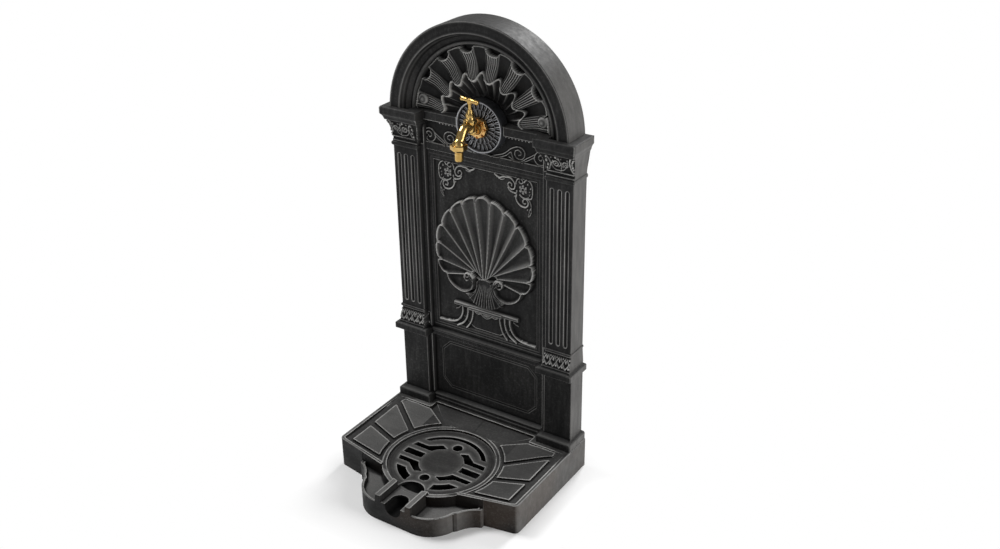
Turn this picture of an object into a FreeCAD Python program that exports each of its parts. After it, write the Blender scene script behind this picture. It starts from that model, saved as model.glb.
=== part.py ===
import FreeCAD, Part
import math
import os
import Sketcher

# Garden wall fountain: a moulded back panel on a basin tray, with a lift-out grate,
# a tap with its rosette, and the supply line inside the hollow panel.
# x runs to the right, z up, and y is 0 at the wall and negative towards the front
# while a piece is built. Each finished piece then moves back by half the depth.

doc = FreeCAD.newDocument("WallFountain")
sheet = doc.addObject("Spreadsheet::Sheet", "Sizes")

# Driving dimensions in millimetres. Depth is the distance from the wall to a front face.
dimensions = {
    "skin": 3.5,
    "seatGap": 0.3,
    "runGap": 0.06,
    # back panel, heights above the floor and half widths
    "deckTop": 57.4,
    "wallHalf": 180.5,
    "bayHalf": 119,
    "sideDepth": 35,
    "fieldDepth": 25.8,
    "lowerDepth": 23.3,
    "plinthTop": 72.5,
    "plinthHalf": 188.6,
    "plinthInner": 118,
    "plinthDepth": 54.8,
    "plinthMidDepth": 36.6,
    "pedestalInner": 125.8,
    "pedestalHalf": 181.4,
    "pedestalDepth": 41,
    "capBottom": 202.9,
    "capTop": 215,
    "capDepth": 56.3,
    "capMidDepth": 37,
    "leafTop": 246,
    "leafDepth": 50,
    "torusTop": 251,
    "torusDepth": 44.6,
    "shaftTop": 561,
    "shaftInner": 128.7,
    "shaftHalf": 180,
    "shaftDepth": 42,
    "fluteWidth": 4.6,
    "fluteDeep": 2.6,
    "flutePitch": 14.4,
    "fluteMargin": 13.5,
    "astragalTop": 571,
    "astragalDepth": 44,
    "capitalTop": 612,
    "corniceFoot": 622.9,
    "corniceTop": 637.3,
    "corniceHalf": 192.3,
    "corniceInner": 114.6,
    "corniceDepth": 62,
    "lintelFoot": 621,
    "lintelTop": 638.8,
    "lintelDepth": 40,
    "friezeDepth": 26.5,
    "architraveFoot": 565,
    "architraveTop": 578.3,
    "architraveDepth": 30.4,
    "frameInner": 104.5,
    "frameFoot": 232,
    "frameTop": 548.1,
    "frameDepth": 29,
    # arch over the cornice
    "archHeight": 629.5,
    "archRadius": 176,
    "archBand": 21,
    "archDepth": 52.7,
    "coveRadius": 134,
    "coveDepth": 37,
    "tympanumDepth": 22,
    "fanRadius": 127,
    "fanDepth": 30,
    "leafRingRadius": 84,
    "leafRingDepth": 33,
    "voluteRadius": 10,
    "voluteAcross": 118.3,
    "voluteHeight": 661.8,
    # shell, its shelf and the tablet
    "shellWaist": 340,
    "shellReachUp": 150,
    "shellReachAside": 100,
    "shellThick": 9,
    "grooveDeep": 3,
    "curlAcross": 50,
    "curlHeight": 322,
    "curlRadius": 17,
    "apronRelief": 3,
    "legRelief": 4,
    "legKneeRise": 12,
    "legKneeReach": 12,
    "legTopRise": 28,
    "legTopReach": 16,
    "footSpread": 27,
    "footHeight": 290,
    "shelfHalf": 68.3,
    "shelfFoot": 276,
    "shelfTop": 283,
    "shelfDepth": 32,
    "legSpread": 38,
    "tabletHalf": 99.8,
    "tabletFoot": 92.5,
    "tabletTop": 185.6,
    "tabletNotch": 15.8,
    "tabletRise": 2,
    # base tray
    "trayHalf": 190,
    "trayCornerDepth": 224,
    "trayCornerRadius": 10,
    "trayFrontDepth": 251,
    "trayFrontHalf": 82.4,
    "frontRimDip": 5.3,
    "trayWall": 4,
    "rimWidth": 7,
    "footDepth": 64,
    "footMidDepth": 43.6,
    "footMidHalf": 109,
    "footMidHeight": 53.9,
    "dishHeight": 46,
    "dishSlope": 0.1,
    "tileRise": 3.6,
    "tileRing": 112,
    "rampFrontDepth": 84,
    "rampFrontHalf": 62,
    "wellDepth": 182,
    "wellRadius": 90,
    "wellFloor": 8,
    "wellBase": 4,
    "ringRadius": 105,
    "ringTop": 48,
    "apronTop": 36.7,
    "apronFloor": 28,
    "apronHalf": 130.2,
    "apronDepth": 325,
    "bowAcross": 38,
    "bowRadius": 59.7,
    "hollowAcross": 150,
    "hollowSetback": 25,
    "hollowRadius": 54,
    "channelHalf": 36.9,
    "channelInner": 26,
    "channelTop": 52.5,
    "channelFloor": 40,
    "slotHalf": 16.6,
    "slotFoot": 19.6,
    "slotLength": 36,
    "slotLap": 1.2,
    "apronLap": 30,
    # lift-out grate
    "grateRadius": 96.5,
    "grateThick": 5,
    "hubRadius": 41,
    "slotRingRadius": 78.5,
    "grateSlot": 14,
    "grateRowNear": 19.3,
    "grateRowFar": 29,
    "liftHoleRadius": 8.5,
    "liftHoleOffset": 51,
    "slotKneeRise": 10,
    "slotBendRise": 15,
    "notchRadius": 25,
    "notchOffset": 94,
    # rosette and tap
    "tapHeight": 628,
    "rosetteRadius": 45.4,
    "rosetteBack": 23.5,
    "rosetteField": 40.5,
    "rosetteRim": 43.5,
    "rosetteRimWidth": 4,
    "shankRadius": 10.2,
    "shankBack": 11.5,
    "shankBore": 5.5,
    "flangeRadius": 19,
    "flangeThick": 9,
    "scallopRadius": 4.2,
    "stemDepth": 66,
    "barrelRadius": 12.5,
    "barrelTop": 640,
    "barrelFoot": 615,
    "chamberRadius": 8.6,
    "seatHeight": 630,
    "seatThick": 3,
    "lowerChamberRadius": 6,
    "lowWayHeight": 622.5,
    "lowWayRadius": 3.6,
    "seatBore": 5,
    "neckRadius": 11.3,
    "spoutRadius": 7.5,
    "spoutBore": 5,
    "spoutStart": 636,
    "outletDepth": 100,
    "outletTop": 622.5,
    "outletFoot": 610,
    "outletRadius": 10.8,
    "bonnetAcross": 19,
    "bonnetFoot": 634,
    "bonnetSkirt": 5,
    "bonnetTop": 652,
    "sealThick": 1,
    "glandAcross": 12.5,
    "glandTop": 663,
    "packingHeight": 4,
    "packingRadius": 4.6,
    "screwRadius": 4,
    "spindleFoot": 635,
    "spindleRadius": 2.8,
    "jumperStemRadius": 2,
    "valveRadius": 7,
    "valveWasherThick": 2.5,
    "jumperThick": 2,
    "handleHeight": 681,
    "handleHalf": 22,
    "handleRadius": 3.2,
    "handleEndRadius": 4.2,
    "handleBossRadius": 5,
    "handleBossHalf": 6,
    "handleTurn": -13,
    "pinRadius": 1,
    "unionAcross": 26,
    "unionTop": 617.5,
    "unionFoot": 605.5,
    "unionLip": 2,
    "tailRadius": 7.1,
    "tailBore": 5.1,
    "tailNeck": 7.5,
    "tailGroove": 0.8,
    "tailFoot": 589,
    "tailCollar": 2,
    # supply line behind the panel
    "washerThick": 1.5,
    "washerRadius": 17,
    "elbowAcross": 27,
    "elbowBack": 1,
    "elbowWall": 3,
    "elbowChamber": 7,
    "elbowThread": 8,
    "hoseDepth": 12.3,
    "hoseTopDepth": 7.6,
    "hoseRadius": 6.5,
    "hoseBore": 4.6,
    "hoseTop": 611,
    "hoseBendTop": 560,
    "hoseBendRadius": 100,
    "barbLength": 18,
    "barbBore": 3.2,
    "clampBand": 0.8,
    "clampWidth": 7,
    "clampEar": 5,
    "clipWidth": 12,
    "clipThick": 2,
    "clipLow": 180,
    "clipPitch": 150,
    "clipScrewAcross": 15,
    "inletBayHalf": 24,
    "inletBayDepth": 34,
    "inletShelf": 38,
    "inletShelfThick": 4,
    "inletHexAcross": 24,
    "inletHexThick": 6,
    "inletRadius": 10.48,
    "inletFoot": 14,
    "inletGroove": 1.5,
    "inletNutThick": 5,
    # screws
    "screwShank": 2,
    "screwHead": 4.2,
    "screwHeadThick": 2.4,
    "screwLength": 16,
    "bossRadius": 5,
    "bossTop": 76,
    "panelScrewOuter": 150,
    "panelScrewInner": 70,
    "panelScrewDepth": 12,
    "clipScrewLength": 9,
}
clipCount = 3
lobeCount = 13
lobeSpan = 15
fluteCount = 3
scallopCount = 8

for row, (alias, millimetres) in enumerate(dimensions.items(), 1):
    sheet.set(f"A{row}", alias)
    sheet.set(f"B{row}", str(millimetres))
    sheet.setAlias(f"B{row}", alias)
doc.recompute()


# A size, or a sum made of sizes: what it is worth now, and the formula that the document keeps.
class Size:
    def __init__(self, text, value):
        self.text = text
        self.value = value

    def __add__(self, other):
        return Size(f"({self.text} + {asSize(other).text})", self.value + asSize(other).value)

    def __radd__(self, other):
        return asSize(other) + self

    def __sub__(self, other):
        return Size(f"({self.text} - {asSize(other).text})", self.value - asSize(other).value)

    def __rsub__(self, other):
        return asSize(other) - self

    def __mul__(self, other):
        return Size(f"({self.text} * {asSize(other).text})", self.value * asSize(other).value)

    def __rmul__(self, other):
        return self * other

    def __truediv__(self, other):
        return Size(f"({self.text} / {asSize(other).text})", self.value / asSize(other).value)

    def __neg__(self):
        return Size(f"(0 - {self.text})", -self.value)


def asSize(number):
    if isinstance(number, Size):
        return number
    return Size(f"({number:.9f})", float(number))


def root(number):
    return Size(f"sqrt({number.text})", math.sqrt(number.value))


class Sizes:
    pass


s = Sizes()
for alias, millimetres in dimensions.items():
    setattr(s, alias, Size(f"Sizes.{alias}", float(millimetres)))

finished = []
planes = {
    "XY": FreeCAD.Rotation(),
    "XZ": FreeCAD.Rotation(FreeCAD.Vector(1, 0, 0), 90),
    "YZ": FreeCAD.Rotation(FreeCAD.Vector(1, 1, 1), 120),
}
turns = {
    "up": FreeCAD.Rotation(),
    "down": FreeCAD.Rotation(FreeCAD.Vector(1, 0, 0), 180),
    "front": FreeCAD.Rotation(FreeCAD.Vector(1, 0, 0), 90),
    "back": FreeCAD.Rotation(FreeCAD.Vector(1, 0, 0), -90),
    "right": FreeCAD.Rotation(FreeCAD.Vector(0, 1, 0), 90),
}


# Helpers: bound properties, primitives and booleans
def place(item, x, y, z, rotation=None):
    item.Placement = FreeCAD.Placement(FreeCAD.Vector(), rotation or FreeCAD.Rotation())
    for axis, distance in zip("xyz", (x, y, z)):
        item.setExpression(f"Placement.Base.{axis}", asSize(distance).text)
    return item


def make(kind, name, at=(0, 0, 0), turn="up", **bound):
    item = doc.addObject(kind, name)
    for key, value in bound.items():
        item.setExpression(key, asSize(value).text)
    return place(item, *at, turns[turn])


def rod(name, radius, height, at, turn="up"):
    return make("Part::Cylinder", name, at, turn, Radius=radius, Height=height)


def ball(name, radius, at):
    return make("Part::Sphere", name, at, Radius=radius)


def cone(name, radius1, radius2, height, at, turn="up"):
    return make("Part::Cone", name, at, turn, Radius1=radius1, Radius2=radius2, Height=height)


def box(name, x0, x1, y0, y1, z0, z1):
    return make("Part::Box", name, (x0, y0, z0), Length=x1 - x0, Width=y1 - y0, Height=z1 - z0)


def hexPrism(name, across, height, at, turn="up"):
    prism = make("Part::Prism", name, at, turn, Circumradius=across / math.sqrt(3), Height=height)
    prism.Polygon = 6
    return prism


def joined(name, items):
    fuse = doc.addObject("Part::MultiFuse", name)
    fuse.Shapes = items
    return fuse


def cutOut(name, base, tools):
    cut = doc.addObject("Part::Cut", name)
    cut.Base = base
    cut.Tool = tools[0] if len(tools) == 1 else joined(name + "Tools", tools)
    return cut


def shared(name, items):
    common = doc.addObject("Part::MultiCommon", name)
    common.Shapes = items
    return common


def finish(item, label, x=0, y=0, z=0):
    item.Label = label
    place(item, x, y + s.apronDepth / 2, z, item.Placement.Rotation)
    finished.append(item)
    return item


# A closed outline whose every corner is held by two bound distances.
def fillOutline(sketch, corners):
    count = len(corners)
    points = [FreeCAD.Vector(asSize(a).value, asSize(b).value, 0) for a, b in corners]
    for number in range(count):
        sketch.addGeometry(Part.LineSegment(points[number], points[(number + 1) % count]))
    for number in range(count):
        sketch.addConstraint(Sketcher.Constraint("Coincident", number, 2, (number + 1) % count, 1))
    for number, corner in enumerate(corners):
        for kind, distance in zip(("DistanceX", "DistanceY"), corner):
            held = Sketcher.Constraint(kind, -1, 1, number, 1, asSize(distance).value)
            index = sketch.addConstraint(held)
            sketch.setExpression(f"Constraints[{index}]", asSize(distance).text)
    return sketch


def outline(name, corners, plane="XY", at=(0, 0, 0)):
    sketch = doc.addObject("Sketcher::SketchObject", name)
    place(sketch, *at, planes[plane])
    return fillOutline(sketch, corners)


def slab(name, corners, plane, start, length):
    at = {"XY": (0, 0, start), "XZ": (0, -asSize(start), 0), "YZ": (start, 0, 0)}[plane]
    extrusion = doc.addObject("Part::Extrusion", name)
    extrusion.Base = outline(name + "Outline", corners, plane, at)
    extrusion.DirMode = "Normal"
    extrusion.Solid = True
    extrusion.setExpression("LengthFwd", asSize(length).text)
    return extrusion


def rectangle(x0, x1, z0, z1):
    return [(x0, z0), (x1, z0), (x1, z1), (x0, z1)]


def mirrored(corners):
    return [(-asSize(a), b) for a, b in reversed(corners)]


def relief(name, x0, x1, z0, z1, depth, start=0):
    return slab(name, rectangle(x0, x1, z0, z1), "XZ", start, depth - start)


def centred(name, half, z0, z1, depth, start=0):
    return relief(name, -half, half, z0, z1, depth, start)


def reliefPair(name, x0, x1, z0, z1, depth, start=0):
    right = relief(name + "Right", x0, x1, z0, z1, depth, start)
    left = relief(name + "Left", -asSize(x1), -asSize(x0), z0, z1, depth, start)
    return [right, left]


# A turned piece: a body whose half section is revolved about its own upright axis.
def turned(name, corners):
    body = doc.addObject("PartDesign::Body", name)
    sketch = body.newObject("Sketcher::SketchObject", name + "Section")
    plane = [item for item in body.Origin.OriginFeatures if item.Role == "XZ_Plane"][0]
    sketch.AttachmentSupport = [(plane, "")]
    sketch.MapMode = "FlatFace"
    fillOutline(sketch, corners)
    revolution = body.newObject("PartDesign::Revolution", name + "Turn")
    revolution.Profile = sketch
    revolution.ReferenceAxis = (sketch, ["V_Axis"])
    revolution.Angle = 360
    body.Tip = revolution
    return body


def sweepArch(name, corners):
    sweep = doc.addObject("Part::Revolution", name)
    sweep.Source = outline(name + "Section", corners, "XY", (0, 0, s.archHeight))
    sweep.Axis = FreeCAD.Vector(0, -1, 0)
    sweep.setExpression("Base.z", s.archHeight.text)
    sweep.Angle = 180
    sweep.Solid = True
    return sweep


def flare(name, foot, top):
    sections = []
    for part, (x0, x1, depth, height) in zip(("Foot", "Top"), (foot, top)):
        sections.append(outline(name + part, rectangle(x0, x1, -depth, 0), "XY", (0, 0, height)))
    loft = doc.addObject("Part::Loft", name)
    loft.Sections = sections
    loft.Solid = True
    loft.Ruled = True
    return loft


def flarePair(name, foot, top):
    turnedOver = [(-asSize(x1), -asSize(x0), depth, z) for x0, x1, depth, z in (foot, top)]
    return [flare(name + "Right", foot, top), flare(name + "Left", *turnedOver)]


# Back panel: pilasters, pedestals, plinth and cornice
def panelArchitecture():
    foot = s.deckTop
    cap = (s.capBottom, s.capTop)
    parts = reliefPair("sideWall", s.bayHalf, s.wallHalf, foot, s.corniceTop, s.sideDepth)
    parts.append(centred("upperField", s.bayHalf, s.capBottom, s.lintelTop, s.fieldDepth))
    parts.append(centred("lowerField", s.bayHalf, foot, s.capTop, s.lowerDepth))
    parts += reliefPair("plinth", s.plinthInner, s.plinthHalf, foot, s.plinthTop, s.plinthDepth)
    parts.append(centred("plinthMiddle", s.plinthInner, foot, s.plinthTop, s.plinthMidDepth))
    pedestal = (s.pedestalInner, s.pedestalHalf)
    parts += reliefPair("pedestal", *pedestal, s.plinthTop, s.capBottom, s.pedestalDepth)
    parts += reliefPair("pedestalCap", s.plinthInner, s.plinthHalf, *cap, s.capDepth)
    parts.append(centred("capMiddle", s.plinthInner, *cap, s.capMidDepth))
    leafFoot = (s.pedestalInner, s.pedestalHalf, s.leafDepth, s.capTop)
    leafTop = (s.shaftInner, s.shaftHalf, s.shaftDepth, s.leafTop)
    parts += flarePair("leafBlock", leafFoot, leafTop)
    moulding = (s.shaftInner - 1, s.shaftHalf + 2)
    parts += reliefPair("torus", *moulding, s.leafTop, s.torusTop, s.torusDepth)
    parts += reliefPair("shaft", s.shaftInner, s.shaftHalf, s.torusTop, s.shaftTop, s.shaftDepth)
    parts += reliefPair("astragal", *moulding, s.shaftTop, s.astragalTop, s.astragalDepth)
    capitalFoot = (s.shaftInner, s.shaftHalf, s.shaftDepth, s.astragalTop)
    capitalTop = (s.corniceInner + 4, s.corniceHalf - 6, s.corniceDepth - 8, s.capitalTop)
    parts += flarePair("capital", capitalFoot, capitalTop)
    bedTop = (s.corniceInner + 1, s.corniceHalf - 2, s.corniceDepth - 3, s.corniceFoot)
    parts += flarePair("bed", capitalTop, bedTop)
    cornice = (s.corniceInner, s.corniceHalf)
    parts += reliefPair("cornice", *cornice, s.corniceFoot, s.corniceTop, s.corniceDepth)
    parts.append(centred("lintel", s.corniceInner, s.lintelFoot, s.lintelTop, s.lintelDepth))
    parts.append(centred("frieze", s.bayHalf, s.architraveTop, s.lintelFoot, s.friezeDepth))
    band = (s.architraveFoot, s.architraveTop, s.architraveDepth)
    parts.append(centred("architrave", s.bayHalf, *band))
    side = (s.frameInner, s.bayHalf)
    parts += reliefPair("frameSide", *side, s.capTop, s.architraveFoot, s.frameDepth)
    parts.append(centred("frameHead", s.frameInner, s.frameTop, s.architraveFoot, s.frameDepth))
    parts.append(centred("frameSill", s.frameInner, s.capTop, s.frameFoot, s.frameDepth))
    return parts


# Back panel: the arch and its fan
def archParts():
    inner = s.archRadius - s.archBand
    ring = [
        (s.coveRadius - 1, 0),
        (s.archRadius, 0),
        (s.archRadius, -s.archDepth),
        (inner, -s.archDepth),
        (inner - 2, -s.archDepth + 4),
        (s.coveRadius + 4, -s.coveDepth - 2),
        (s.coveRadius - 1, -s.coveDepth),
    ]
    parts = [sweepArch("arch", ring)]
    parts.append(halfDisc("tympanum", s.coveRadius, s.tympanumDepth))
    parts.append(halfDisc("fan", s.fanRadius, s.fanDepth))
    parts.append(halfDisc("leafRing", s.leafRingRadius, s.leafRingDepth))
    for side in (-1, 1):
        at = (s.voluteAcross * side, -s.tympanumDepth, s.voluteHeight)
        parts.append(rod("volute", s.voluteRadius, s.coveDepth - s.tympanumDepth, at, "front"))
    return parts


def halfDisc(name, radius, depth):
    disc = rod(name + "Disc", radius, depth, (0, 0, s.archHeight), "front")
    reach = radius + 1
    upper = box(name + "Half", -reach, reach, -depth - 1, 1, s.archHeight, s.archHeight + reach)
    return shared(name, [disc, upper])


# Back panel: the scallop shell with its curled ends, foot, shelf and legs.
# Its rim is a fan of lobes about the waist, wider to the sides at the top than below.
def shellPoint(turn, share):
    angle = math.radians(90 - turn)
    rise = s.shellReachUp if math.cos(math.radians(turn)) > 0 else s.curlRadius * 2
    across = s.shellReachAside * share * math.cos(angle)
    return across, s.shellWaist + rise * share * math.sin(angle)


def shellPlate():
    rim = []
    for number in range(lobeCount):
        middle = (number - (lobeCount - 1) / 2) * lobeSpan
        for offset, share in ((-0.5, 0.92), (-0.25, 0.99), (0, 1), (0.25, 0.99)):
            rim.append(shellPoint(middle + offset * lobeSpan, share))
    rim.append(shellPoint(lobeCount / 2 * lobeSpan, 0.92))
    rim.reverse()
    waist = [(-s.curlRadius, s.shellWaist - s.curlRadius), (s.curlRadius, s.shellWaist - s.curlRadius)]
    plate = slab("shellPlate", rim + waist, "XZ", s.fieldDepth - 1, s.shellThick + 1)
    grooves = []
    for number in range(lobeCount + 1):
        turn = (number - lobeCount / 2) * lobeSpan
        wide = lobeSpan / 8
        wedge = [shellPoint(turn - wide, 1.1), shellPoint(turn, 0.25), shellPoint(turn + wide, 1.1)]
        start = s.fieldDepth + s.shellThick - s.grooveDeep
        grooves.append(slab("shellGroove", wedge, "XZ", start, s.grooveDeep + 1))
    return cutOut("shellFan", plate, grooves)


def shellParts():
    parts = [shellPlate()]
    start = s.fieldDepth - 1
    for side in (-1, 1):
        at = (s.curlAcross * side, -s.fieldDepth, s.curlHeight)
        parts.append(rod("curl", s.curlRadius, s.shelfDepth - s.fieldDepth, at, "front"))
    waist = s.curlRadius - 4
    spread = s.footSpread
    foot = [(spread, s.footHeight), (waist, s.shellWaist)]
    parts.append(slab("shellFoot", foot + mirrored(foot), "XZ", start, s.shellThick))
    parts.append(centred("shelf", s.shelfHalf, s.shelfFoot, s.shelfTop, s.shelfDepth, start))
    half = s.legSpread * 0.6
    apron = [(s.legSpread, s.frameFoot), (half, s.shelfFoot)]
    parts.append(slab("shellApron", apron + mirrored(apron), "XZ", start, s.apronRelief))
    leg = [
        (s.legSpread + 4, s.frameFoot),
        (s.frameInner, s.frameFoot),
        (s.frameInner, s.frameFoot + 3),
        (s.shelfHalf + 2, s.frameFoot + s.legKneeRise),
        (s.shelfHalf - s.legKneeReach, s.frameFoot + s.legTopRise),
        (s.shelfHalf - s.legTopReach, s.shelfFoot),
        (half + 3, s.shelfFoot),
    ]
    parts.append(slab("legRight", leg, "XZ", start, s.legRelief))
    parts.append(slab("legLeft", mirrored(leg), "XZ", start, s.legRelief))
    return parts


def tabletPart():
    n = s.tabletNotch
    corners = [
        (-s.tabletHalf, s.tabletFoot + n),
        (-s.tabletHalf + n, s.tabletFoot),
        (s.tabletHalf - n, s.tabletFoot),
        (s.tabletHalf, s.tabletFoot + n),
        (s.tabletHalf, s.tabletTop - n),
        (s.tabletHalf - n, s.tabletTop),
        (-s.tabletHalf + n, s.tabletTop),
        (-s.tabletHalf, s.tabletTop - n),
    ]
    return slab("tablet", corners, "XZ", s.lowerDepth - 1, s.tabletRise + 1)


# What is taken from the panel: its hollow back, the flutes, the rosette's socket and the openings
def panelHollows():
    k = s.skin
    foot = s.deckTop + k
    side = (s.bayHalf + k / 2, s.wallHalf - k)
    hollow = reliefPair("sideHollow", *side, foot, s.corniceFoot, s.sideDepth - k)
    middle = (s.bayHalf - k / 2, foot, s.tapHeight + s.washerRadius + 2 * k)
    hollow.append(centred("middleHollow", *middle, s.rosetteBack - k))
    inner = s.archRadius - s.archBand
    ring = [
        (0, 0),
        (s.archRadius - k, 0),
        (s.archRadius - k, -s.archDepth + k),
        (inner + k, -s.archDepth + k),
        (s.coveRadius + 2 * k, -s.coveDepth + k),
        (s.coveRadius + k, -s.tympanumDepth + k),
        (0, -s.tympanumDepth + k),
    ]
    hollow.append(sweepArch("archHollow", ring))
    return hollow


def fluteTools():
    tools = []
    for side in (-1, 1):
        for number in range(fluteCount):
            centre = (s.shaftInner + s.shaftHalf) / 2 + s.flutePitch * (number - (fluteCount - 1) / 2)
            x = centre * side
            half = s.fluteWidth / 2
            foot = s.torusTop + s.fluteMargin
            top = s.shaftTop - s.fluteMargin
            start = s.shaftDepth - s.fluteDeep
            tools.append(relief("flute", x - half, x + half, foot, top, s.shaftDepth + 1, start))
            tools.append(rod("fluteHead", half, s.fluteDeep + 1, (x, -start, top), "front"))
            tools.append(rod("fluteTail", half, s.fluteDeep + 1, (x, -start, foot), "front"))
    return tools


screwPlaces = [(side, across) for side in (-1, 1) for across in ("panelScrewInner", "panelScrewOuter")]


def backPanel():
    shell = panelArchitecture() + archParts() + shellParts() + [tabletPart()]
    hollowed = cutOut("panelShell", joined("panelMass", shell), panelHollows() + fluteTools())
    bosses = []
    holes = []
    for side, across in screwPlaces:
        x = getattr(s, across) * side
        at = (x, -s.panelScrewDepth, s.deckTop)
        bosses.append(rod("screwBoss", s.bossRadius, s.bossTop - s.deckTop, at))
        holes.append(rod("screwPilot", s.screwShank, s.screwLength - s.trayWall + 1, at))
    backing = s.rosetteBack - s.skin
    for number in range(clipCount):
        z = s.clipLow + s.clipPitch * number
        for side in (-1, 1):
            at = (s.clipScrewAcross * side, -backing, z)
            bosses.append(rod("clipBoss", s.bossRadius, backing - clipFootDepth(), at, "back"))
            reach = s.clipScrewLength - s.clipThick + 0.5
            at = (s.clipScrewAcross * side, -clipFootDepth(), z)
            holes.append(rod("clipPilot", s.screwShank, reach, at, "front"))
    socket = s.rosetteRadius + s.seatGap
    reach = s.lintelDepth - s.rosetteBack + 1
    holes.append(rod("rosetteSocket", socket, reach, (0, -s.rosetteBack, s.tapHeight), "front"))
    way = s.shankRadius + s.seatGap
    holes.append(rod("shankHole", way, s.lintelDepth, (0, 0, s.tapHeight), "front"))
    holes += hoseNotch("panelNotch", s.deckTop - 1, s.deckTop + s.skin + 1)
    finish(cutOut("backPanel", joined("panelBossed", [hollowed] + bosses), holes), "back_panel")


def clipFootDepth():
    return s.hoseDepth + s.hoseRadius - s.clipThick


def hoseNotch(name, foot, top):
    radius = s.hoseRadius + 1
    round_ = rod(name + "Round", radius, top - foot, (0, -s.hoseDepth, foot))
    return [round_, box(name + "Gate", -radius, radius, -s.hoseDepth, s.seatGap, foot, top)]


# Base tray: outlines in plan
def trayOutline(inset):
    half = s.trayHalf - inset
    corner = s.trayHalf - s.trayCornerRadius + 1.7
    right = [
        (half, -asSize(inset)),
        (half, -s.trayCornerDepth),
        (corner, -s.trayCornerDepth - s.trayCornerRadius + 0.15 + inset),
        (s.trayFrontHalf, -s.trayFrontDepth + inset),
    ]
    return right + mirrored(right)


def trayBlock(name, inset, foot, top):
    plain = slab(name + "Plan", trayOutline(inset), "XY", foot, top - foot)
    rounds = []
    for side in (-1, 1):
        at = ((s.trayHalf - s.trayCornerRadius) * side, -s.trayCornerDepth, foot)
        rounds.append(rod(name + "Corner", s.trayCornerRadius - inset, top - foot, at))
    return joined(name, [plain] + rounds)


# The bowed apron: a straight-sided plan, rounded out and hollowed by upright cylinders
def apronBlock(name, inset, foot, top):
    joint = (s.bowAcross + s.hollowAcross) / 2 + 2.6
    hollowDepth = s.apronDepth - s.hollowSetback
    jointDepth = (s.apronDepth - s.bowRadius + hollowDepth) / 2
    right = [
        (s.apronHalf - 2 * inset, -s.trayFrontDepth + s.apronLap),
        (s.apronHalf - 2 * inset, -s.trayFrontDepth + 2.4),
        (joint - inset, -jointDepth + inset),
        (s.bowAcross, -s.apronDepth + inset),
    ]
    plan = slab(name + "Plan", right + mirrored(right), "XY", foot, top - foot)
    bows = [plan]
    hollows = []
    for side in (-1, 1):
        bowDepth = s.apronDepth - s.bowRadius
        at = (s.bowAcross * side, -bowDepth, foot)
        bows.append(rod(name + "Bow", s.bowRadius - inset, top - foot, at))
        at = (s.hollowAcross * side, -hollowDepth, foot)
        hollows.append(rod(name + "Hollow", s.hollowRadius + inset, top - foot, at))
    return cutOut(name, joined(name + "Full", bows), hollows)


def dishCone(name, lift):
    reach = 2 * s.trayHalf
    fall = s.dishSlope * reach
    at = (0, -s.wellDepth, s.dishHeight + lift)
    return cone(name, s.ringRadius, s.ringRadius + reach, fall, at)


def tilePlans():
    first = [(168, -222), (168, -170.5), (98, -190), (98, -229)]
    second = [(169, -157.5), (169, -91), (92, -149), (98, -178)]
    third = [(168, -77.5), (92, -135), (56, -96), (66, -90), (108, -65), (166, -67)]
    return [first, second, third]


def trayTiles():
    tiles = []
    for number, plan in enumerate(tilePlans()):
        scaled = [(s.trayHalf * (a / 190), s.wellDepth * (b / 182)) for a, b in plan]
        for corners in (scaled, mirrored(scaled)):
            foot = s.dishHeight - 2
            tiles.append(slab(f"tile{number}", corners, "XY", foot, s.deckTop - foot))
    well = rod("tileClear", s.tileRing, s.deckTop, (0, -s.wellDepth, 0))
    return cutOut("tiles", joined("tileBlocks", tiles), [dishCone("tileTops", s.tileRise), well])


# The middle of the deck slopes from the plinth down to the ring
def trayRamp():
    side = [
        (0, s.dishHeight - 2),
        (-s.rampFrontDepth, s.dishHeight - 2),
        (-s.rampFrontDepth, s.dishHeight + 1),
        (-s.footMidDepth, s.footMidHeight),
        (-s.plinthMidDepth, s.deckTop),
        (0, s.deckTop),
    ]
    long = slab("rampSide", side, "YZ", -s.footMidHalf, 2 * s.footMidHalf)
    right = [(s.footMidHalf, 0), (s.footMidHalf, -s.footMidDepth), (s.rampFrontHalf, -s.rampFrontDepth)]
    plan = slab("rampPlan", right + mirrored(right), "XY", 0, s.deckTop + 1)
    return shared("ramp", [long, plan])


def innerRim():
    half = s.trayHalf - s.rimWidth
    right = [
        (s.footMidHalf, -s.footDepth),
        (half, -s.footDepth),
        (half, -s.trayCornerDepth - 2),
        (half - 6, -s.trayCornerDepth - 5),
        (s.trayFrontHalf, -s.trayFrontDepth + s.rimWidth),
    ]
    middle = [(s.footMidHalf, -s.footMidDepth)]
    return middle + right + mirrored(middle + right)


def frontDipTool():
    corner = s.trayHalf - s.trayCornerRadius
    low = s.deckTop - s.frontRimDip
    top = s.deckTop + 5
    right = [(corner, top), (corner, s.deckTop), (s.trayFrontHalf, low)]
    corners = right + mirrored(right)
    start = s.trayCornerDepth + 4
    return slab("frontDip", corners, "XZ", start, s.trayFrontDepth - start + 2)


def trayMass():
    block = trayBlock("block", 0, 0, s.deckTop)
    plan = slab("dishPlan", innerRim(), "XY", 0, s.deckTop + 1)
    dish = shared("dish", [dishCone("dishFloor", 0), plan])
    clear = rod("ringClear", s.ringRadius, s.ringTop, (0, -s.wellDepth, s.ringTop))
    top = cutOut("blockDished", block, [dish, frontDipTool(), clear])
    ring = rod("ring", s.ringRadius, s.ringTop, (0, -s.wellDepth, 0))
    back = s.wellDepth + s.wellRadius
    channel = box("channelBlock", -s.channelHalf, s.channelHalf, -s.apronDepth, -back, 0, s.channelTop)
    apron = apronBlock("apron", 0, 0, s.apronTop)
    return joined("trayMass", [top, trayTiles(), trayRamp(), ring, channel, apron])


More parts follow.
